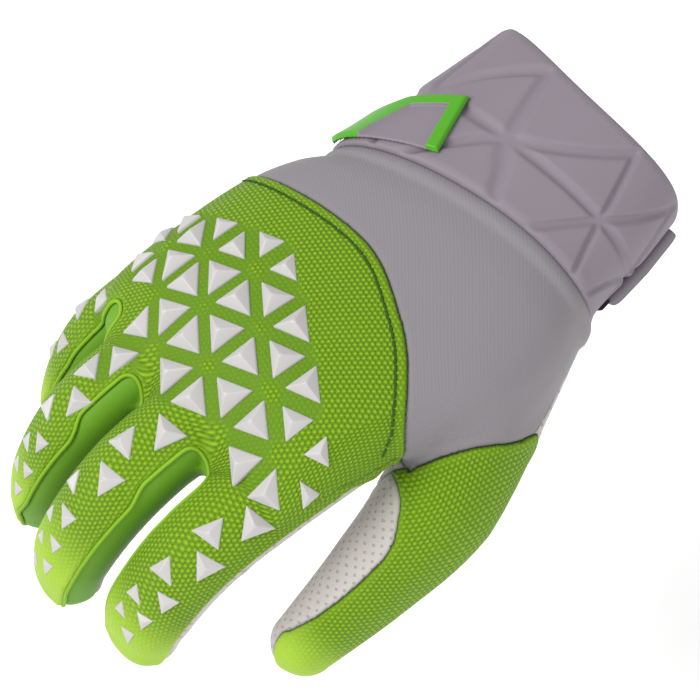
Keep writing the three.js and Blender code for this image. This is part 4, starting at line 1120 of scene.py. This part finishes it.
def cuff_lines():
    """The grooves' ends, in millimetres round and along the cuff."""
    def knot(name, turns):
        turn, along = CUFF_KNOTS[name]
        return np.array([(turn + turns * KNOT_TURN) * TURN_LENGTH, along * CUFF_LENGTH])
    lines = []
    for k in range(-KNOT_COUNT, KNOT_COUNT + 1):
        here = knot("middle", k)
        for other, step in (("middle", 1), ("wrist", 0), ("wrist", -1), ("far", 0), ("far", 1)):
            lines.append((here, knot(other, k + step)))
    return lines


def cuff_relief(along, turn):
    """How far the cuff's pressed triangles stand above its grooves."""
    here = np.stack(np.broadcast_arrays(turn * TURN_LENGTH, along), -1)
    nearest = np.full(here.shape[:-1], np.inf)
    for a, b in cuff_lines():
        reach = b - a
        t = np.clip((here - a) @ reach / (reach @ reach), 0, 1)
        nearest = np.minimum(nearest, np.linalg.norm(here - a - t[..., None] * reach, axis=-1))
    return CUFF_RELIEF - CHANNEL_DEPTH * (1 - softly(nearest, CHANNEL_FLOOR, CHANNEL_EDGE))


def make_cuff():
    """The cuff as one closed shell: out along its pressed outside, and back along its inside."""
    turns = np.linspace(-180, 180, CUFF_SIDES, endpoint=False)
    outer, inner = np.linspace(0, CUFF_LENGTH, CUFF_STEPS), np.linspace(CUFF_LENGTH, 0, CUFF_INNER_STEPS)
    rings = []
    for along in outer:
        near = min(along, CUFF_LENGTH - along)
        round_off = CUFF_LIP * (1 - math.sqrt(max(0, 1 - (1 - min(near / CUFF_LIP, 1)) ** 2)))
        relief = cuff_relief(along, turns) * min(near / CUFF_EASE, 1)
        rings.append(hand_point(along, turns, CUFF_TOP - round_off + relief))
    rings += [hand_point(along, turns, SEAM_GAP) for along in inner]
    uv = np.stack([np.tile(turns * TURN_LENGTH, len(rings)),
                   np.repeat(np.concatenate([outer, inner]), CUFF_SIDES)], -1)
    faces = looped_faces(len(rings), CUFF_SIDES, closed=True)
    cuff = make_mesh("cuff_shell", np.concatenate(rings), faces, uv)
    face_outwards(cuff)
    placed(cuff, "cuff_rubber", FINISHES["cuff"], "cuff")


def face_outwards(piece):
    mesh = bmesh.new()
    mesh.from_mesh(piece.data)
    bmesh.ops.recalc_face_normals(mesh, faces=mesh.faces)
    mesh.to_mesh(piece.data)
    mesh.free()


make_cuff()


# Closure: the strap with its fold, and the strip of hooks beside its end
STRAP_FROM, STRAP_TO = -258, -106
PATCH_WIDTH, PATCH_TURN, PATCH_WALL, FOLD_SWELL = 4, 60, 0.9, 1.35
CLOSURE_FLOOR = CUFF_TOP + CUFF_RELIEF + SEAM_GAP
SLAB_FLOOR = CUFF_TOP + 0.1
SLAB_CORNERS, SLAB_WIDE_POWER, SLAB_HIGH_POWER, SLAB_END, SLAB_END_LEAST = 40, 0.14, 0.45, 0.9, 0.02


def slab(name, along_from, along_to, turn_from, turn_to, thickness, steps):
    """A strap that follows the cuff, with rounded edges and ends. Thickness is a function of turn."""
    middle, half = (along_from + along_to) / 2, (along_to - along_from) / 2
    corner = np.linspace(0, 2 * math.pi, SLAB_CORNERS, endpoint=False)
    wide = np.sign(np.cos(corner)) * np.abs(np.cos(corner)) ** SLAB_WIDE_POWER
    high = np.sign(np.sin(corner)) * np.abs(np.sin(corner)) ** SLAB_HIGH_POWER
    turns = np.linspace(turn_from, turn_to, steps)
    rings = []
    for turn in turns:
        end = min(turn - turn_from, turn_to - turn) * TURN_LENGTH
        share = math.sqrt(max(SLAB_END_LEAST, 1 - (1 - min(end / SLAB_END, 1)) ** 2))
        thick = thickness(turn) + CLOSURE_FLOOR - SLAB_FLOOR
        lift = SLAB_FLOOR + thick / 2 + thick / 2 * high * share
        rings.append(hand_point(middle + half * wide * (1 - 0.02 * (1 - share)), turn, lift))
    uv = np.stack([np.repeat(turns * TURN_LENGTH, SLAB_CORNERS),
                   np.tile(middle + half * wide, len(turns))], -1)
    piece = make_mesh(name, np.concatenate(rings), tube_faces(len(rings), SLAB_CORNERS), uv)
    face_outwards(piece)
    return piece


def strap_thickness(turn):
    """The strap's thickness, which swells where it folds back."""
    fold = STRAP_FOLD / TURN_LENGTH
    swell = softly(turn, STRAP_TO - fold, STRAP_TO - 0.6 * fold)
    return STRAP_WALL * (1 + (FOLD_SWELL - 1) * swell)


strap = slab("strap_band", STRAP_START, STRAP_START + STRAP_WIDTH, STRAP_FROM, STRAP_TO, strap_thickness, 150)
placed(strap, "cuff_rubber", FINISHES["cuff"], "closure_strap")
patch_start = STRAP_START + STRAP_WIDTH + SEAM_GAP
patch = slab("hook_strip", patch_start, patch_start + PATCH_WIDTH, STRAP_TO - PATCH_TURN, STRAP_TO,
             lambda turn: PATCH_WALL, 60)
placed(patch, "hook_fabric", FINISHES["hook"], "hook_patch")


# Badge: its outline and the open end of its frame, as shares of the hand's width and length
BADGE_OUTLINE = (
    (0.515, 0.388), (0.439, 0.288), (0.360, 0.219), (0.279, 0.183),
    (0.215, 0.156), (0.150, 0.288), (0.255, 0.315), (0.349, 0.341),
)
BADGE_OPEN_FROM, BADGE_OPEN_SIDE = 6, ((0.02, 0.552), (0.70, 0.65))
BADGE_STEP, BADGE_SNAP, BADGE_SIDE_GAP, BADGE_WALL = 0.3, 0.02, 1.8, 0.9
BADGE_RISE, BADGE_FIELD, BADGE_RIM, BADGE_SOLID_FROM = 2.0, 1.0, 3.8, 0.33
BADGE_EDGE, BADGE_DROP, BADGE_DROP_REACH, BADGE_STEP_DOWN = 0.7, 0.5, 0.35, (-0.1, 0.5)


def plan_grid(low, high, step):
    """A flat sheet of triangles over a rectangle in plan."""
    xs, ys = np.arange(low[0], high[0], step), np.arange(low[1], high[1], step)
    nx, ny = len(xs), len(ys)
    grid = np.stack([*np.meshgrid(xs, ys, indexing="ij"), np.zeros((nx, ny))], -1).reshape(-1, 3)
    corner = (np.arange(nx - 1)[:, None] * ny + np.arange(ny - 1)).ravel()
    return grid, np.concatenate([np.stack([corner, corner + ny, corner + ny + 1], 1),
                                 np.stack([corner, corner + ny + 1, corner + 1], 1)])


def cuff_seat():
    """The surface over the cuff on which the badge lies, and the rings of points it is made of."""
    turns = np.linspace(-180, 180, 1440, endpoint=False)
    rings = [hand_point(along, turns, CLOSURE_FLOOR) for along in np.linspace(4, 66, 60)]
    return BVHTree.FromPolygons(np.concatenate(rings).tolist(), looped_faces(len(rings), len(turns))), rings


def make_badge():
    """The badge: a raised rim round a lower bare field, seated on the cuff's little-finger side."""
    outline = in_plan(BADGE_OUTLINE)
    flat, tris = plan_grid(outline.min(0) - 1, outline.max(0) + 1, BADGE_STEP)
    seat, rings = cuff_seat()
    widest = np.array([ring[ring[:, 0].argmax()] for ring in rings])
    beyond = flat[:, 0] - np.interp(flat[:, 1], widest[:, 1], widest[:, 0]) + BADGE_SIDE_GAP
    data, tris = clipped(flat, tris, np.maximum(outline_distance(flat, outline), beyond), BADGE_SNAP)
    framed = np.concatenate([outline[:BADGE_OPEN_FROM], in_plan(BADGE_OPEN_SIDE)])
    width = BADGE_RIM + np.maximum(0, data[:, 0] - BADGE_SOLID_FROM * HAND_WIDTH)
    data[:, 2] = -outline_distance(data, framed) - width
    data, tris = clipped_both(data, tris, data[:, 2], BADGE_SNAP)
    depth, inner = -outline_distance(data, outline), data[:, 2]
    rim = softly(depth, 0, BADGE_EDGE) * (1 - softly(inner, *BADGE_STEP_DOWN))
    lift = (BADGE_FIELD + (BADGE_RISE - BADGE_FIELD) * rim
            - BADGE_DROP * (1 - softly(depth, 0, BADGE_DROP_REACH)))
    points = []
    for (x, y, _), up in zip(data, lift):
        hit, normal, _, _ = seat.ray_cast(Vector((x, y, HAND_DEPTH)), Vector((0, 0, -1)))
        outward = np.array(normal if normal.z > 0 else -normal) if hit else None
        points.append(np.array(hit) + outward * up if hit else (x, y, 0))
    badge = make_mesh("badge_plate", points, tris, data[:, :2])
    add_wall(badge, BADGE_WALL)
    placed(badge, "badge_rubber", FINISHES["badge"], "badge")
    badge.data.materials.append(FINISHES["field"])
    for polygon in badge.data.polygons:
        if sum(inner[i] for i in polygon.vertices) > 0:
            polygon.material_index = 1


make_badge()


# Studs
STUD_SUNK, STUD_FOOT, STUD_EDGE, STUD_REACH, STUD_RISE = 0.8, 0.6, 0.4, 5, 2.2
FIELD_STUD_HEIGHT, STRIP_STUD_HEIGHT = STUD_HEIGHT + 0.5, STUD_HEIGHT + 0.6
STRIP_SIDE_MOST, STRIP_CLEAR = 0.92, 6
FIELD_LOWEST, FOOT_SHARES = -0.25, (1, 0.85, 0.7, 0.55, 0.4)


def stud(name, corners, height, outward):
    """A three-sided pyramid with a small flat tip and softened edges, on three surface points. It
    is lifted where the skin between them bulges."""
    corners = [np.array(c, float) for c in corners]
    up = np.cross(corners[1] - corners[0], corners[2] - corners[0])
    if up @ outward < 0:
        corners[1], corners[2] = corners[2], corners[1]
        up = -up
    up /= np.linalg.norm(up)
    middle = sum(corners) / 3
    rise = 0
    for spot in [middle] + [(corners[i] + corners[i - 1]) / 2 for i in range(3)]:
        hit = skin.ray_cast(Vector(spot + up * STUD_REACH), Vector(-up))[0]
        if hit:
            rise = max(rise, min((np.array(hit) - spot) @ up, STUD_RISE))
    points = [c - up * STUD_SUNK for c in corners]
    points += [c + up * (STUD_FOOT + rise) for c in corners]
    points += [middle + (c - middle) * STUD_TIP + up * (height + rise) for c in corners]
    faces = [(2, 1, 0), (6, 7, 8)]
    for i in range(3):
        j = (i + 1) % 3
        faces += [(i, j, 3 + j, 3 + i), (3 + i, 3 + j, 6 + j, 6 + i)]
    mesh = bmesh.new()
    corners = [mesh.verts.new(point) for point in points]
    for face in faces:
        mesh.faces.new([corners[i] for i in face])
    bmesh.ops.bevel(mesh, geom=mesh.edges[:] + mesh.verts[:], offset=STUD_EDGE * height / STUD_HEIGHT,
                    segments=3, profile=0.6, affect="EDGES", clamp_overlap=True)
    rounded = [tuple(vertex.co) for vertex in mesh.verts]
    mesh.verts.index_update()
    faces = [[vertex.index for vertex in face.verts] for face in mesh.faces]
    mesh.free()
    return make_mesh(name, rounded, faces)


def on_skin(x, y):
    """The spot of the skin seen from above at a place in plan."""
    hit = skin.ray_cast(Vector((x, y, HAND_DEPTH * 2)), Vector((0, 0, -1)))[0]
    return np.array(hit) if hit else None


def field_studs():
    """The knuckles' field. A foot that would miss the back of the hand is drawn in."""
    centre, wrap = FIELD_CENTRE * HAND_WIDTH, FIELD_WRAP * HAND_WIDTH
    for number, (middle, feet, size) in enumerate(field_cells(), 1):
        seats = []
        for foot in feet:
            for share in FOOT_SHARES:
                spot = middle + (foot - middle) * share
                seat = on_skin(centre + wrap * math.sin((spot[0] - centre) / wrap), spot[1])
                if seat is not None and seat[2] > FIELD_LOWEST * HAND_DEPTH:
                    break
            seats.append(seat)
        piece = stud(f"stud_{number:02d}_cap", seats, FIELD_STUD_HEIGHT * size / STUD_SIDE, (0, 0, 1))
        placed(piece, "stud_rubber", FINISHES["stud"], f"stud_{number:02d}")


def strip_studs(name, rows):
    """A finger's strip of studs, which turn about and grow finer towards its tip."""
    axis = AXES[name]

    def at(distance, key):
        return np.array([np.interp(distance, axis["run"], column) for column in np.atleast_2d(axis[key].T)])

    for k, (share, aside, size) in enumerate(rows):
        reach = STUD_SIDE * size / math.sqrt(3)
        middle = DIGITS[name]["length"] * share
        feet = []
        for corner in range(3):
            turn = (STRIP_TURN + 180 * ((k + 1) % 2) + corner * 120) * DEG
            run = middle + reach * math.cos(turn)
            half, deep = at(run, "half")[0], at(run, "deep")[0]
            across = aside + reach * math.sin(turn) / half
            across = min(max(across, -STRIP_SIDE_MOST), STRIP_SIDE_MOST)
            side, top = rounded_box(math.asin(across) / DEG, DIGIT_ROUNDNESS)
            outward = at(run, "up") * deep * top + at(run, "side") * half * side
            outwards = Vector(outward).normalized()
            seat = at(run, "centre") + outward
            hit = skin.ray_cast(Vector(seat) + outwards * STRIP_CLEAR, -outwards)[0]
            feet.append(np.array(hit) if hit else seat)
        piece = stud(f"strip_{name}_{k + 1}", feet, STRIP_STUD_HEIGHT * size, at(middle, "up"))
        placed(piece, "stud_rubber", FINISHES["stud"])


field_studs()
for digit_name, strip_rows in STRIPS.items():
    strip_studs(digit_name, strip_rows)


# Stitches
STITCH_LENGTH, STITCH_PITCH, STITCH_RADIUS, STITCH_LIFT, STITCH_SIDES = 1.4, 2.3, 0.42, 0.05, 8
STITCH_ENDS = ((-0.9, 0.35), (-0.5, 0.85), (0, 1.0))
SEAM_STITCH_INSET = 3.2


def stitch_row(name, line, material, slot):
    """A row of stitches along a plan line, each seated on the back panel."""
    run = np.concatenate([[0], np.cumsum(np.linalg.norm(np.diff(line, axis=0), axis=1))])
    cloth = panels["back_panel"].data
    tree = BVHTree.FromPolygons([v.co[:] for v in cloth.vertices], [p.vertices[:] for p in cloth.polygons])
    points, faces = [], []
    for start in np.arange(STITCH_PITCH, run[-1] - STITCH_PITCH, STITCH_PITCH):
        ends = []
        for place in (start, start + STITCH_LENGTH):
            x, y = np.interp(place, run, line[:, 0]), np.interp(place, run, line[:, 1])
            hit, normal, _, _ = tree.ray_cast(Vector((x, y, HAND_DEPTH * 2)) * MM, Vector((0, 0, -1)))
            if hit:
                ends.append(np.array(hit) / MM + np.array(normal) * STITCH_LIFT)
        if len(ends) == 2 and np.linalg.norm(ends[1] - ends[0]) < 2 * STITCH_LENGTH:
            add_capsule(points, faces, *ends)
    placed(make_mesh(name, np.array(points), faces), slot, material)


def add_capsule(points, faces, a, b):
    """Adds a short round bar with soft ends between two points."""
    along = (b - a) / np.linalg.norm(b - a)
    side = np.cross(along, (0, 0, 1.0))
    side /= np.linalg.norm(side)
    up = np.cross(side, along)
    stations = [(a, s, r) for s, r in STITCH_ENDS] + [(b, -s, r) for s, r in reversed(STITCH_ENDS)]
    faces += tube_faces(len(stations), STITCH_SIDES, len(points))
    for centre, shift, share in stations:
        centre = centre + along * shift * STITCH_RADIUS
        points += list(ring_points(centre, side, up, STITCH_RADIUS * share, STITCH_SIDES))


def offset_line(line, shift):
    """A plan line moved to its left by a distance."""
    reach = np.gradient(line, axis=0)
    reach /= np.linalg.norm(reach, axis=1)[:, None]
    return line + np.stack([reach[:, 1], -reach[:, 0]], -1) * shift


stitch_row("back_seam_stitches", offset_line(spline_points(BACK_SEAM, 160), SEAM_STITCH_INSET),
           FINISHES["thread"], "knuckle_mesh")


# Camera, light and floor
VIEW = Vector((-0.37, 0.22, 0.9026)).normalized()
AIM, DISTANCE, LENS = Vector((0.9, 97.0, 0.0)), 700, 126
IMAGE_RIGHT, IMAGE_UP = (-0.722, 0.692), (-0.692, -0.722)
STAGE_SIZE, STAGE_LEVEL = 3.0, -0.25


def set_camera():
    """Sets the camera, and returns the directions that are right and up in its picture."""
    along = (Vector((0, 1, 0)) - VIEW * VIEW.y).normalized()
    right = (along * IMAGE_RIGHT[0] + VIEW.cross(along) * IMAGE_RIGHT[1]).normalized()
    up = VIEW.cross(right)
    data = bpy.data.cameras.new("camera")
    data.lens, data.sensor_width, data.clip_start = LENS, 36, 0.01
    camera = bpy.data.objects.new("camera", data)
    bpy.context.scene.collection.objects.link(camera)
    turn = Matrix((right, up, VIEW)).transposed().to_4x4()
    camera.matrix_world = Matrix.Translation((AIM + VIEW * DISTANCE) * MM) @ turn
    bpy.context.scene.camera = camera
    return right, up


def add_light(name, place, size, power, target=(0.01, 0.1, 0)):
    data = bpy.data.lights.new(name, "AREA")
    data.shape, data.size, data.energy = "DISK", size, power
    light = bpy.data.objects.new(name, data)
    light.location = place
    light.rotation_euler = (Vector(place) - Vector(target)).to_track_quat("Z", "Y").to_euler()
    bpy.context.scene.collection.objects.link(light)


def set_stage(right, up):
    """The studio: its even light, two lamps and a paper floor."""
    world = bpy.data.worlds.new("studio")
    world.use_nodes = True
    backdrop = world.node_tree.nodes["Background"]
    backdrop.inputs["Color"].default_value = (1, 1, 1, 1)
    backdrop.inputs["Strength"].default_value = 0.72
    bpy.context.scene.view_settings.view_transform = "Standard"
    bpy.context.scene.world = world
    centre = AIM * MM
    add_light("key", centre + (VIEW * 0.75 + up * 0.25 - right * 0.75), 0.6, 9.5)
    add_light("fill", centre + (VIEW * 0.6 - up * 0.6 + right * 0.4), 0.9, 3.0)
    floor_mesh = bpy.data.meshes.new("floor")
    corners = [(x * STAGE_SIZE, y * STAGE_SIZE, STAGE_LEVEL) for x, y in ((-1, -1), (1, -1), (1, 1), (-1, 1))]
    floor_mesh.from_pydata(corners, [], [(0, 1, 2, 3)])
    floor = bpy.data.objects.new("floor", floor_mesh)
    bpy.context.scene.collection.objects.link(floor)
    material = bpy.data.materials.new("floor paper")
    material.use_nodes = True
    shader = material.node_tree.nodes["Principled BSDF"]
    for label, value in (("Base Color", (0.97, 0.97, 0.97, 1)), ("Emission Color", (1, 1, 1, 1)),
                         ("Emission Strength", 0.12), ("Roughness", 0.95)):
        shader.inputs[label].default_value = value
    floor.data.materials.append(material)


image_right, image_up = set_camera()
set_stage(image_right, image_up)
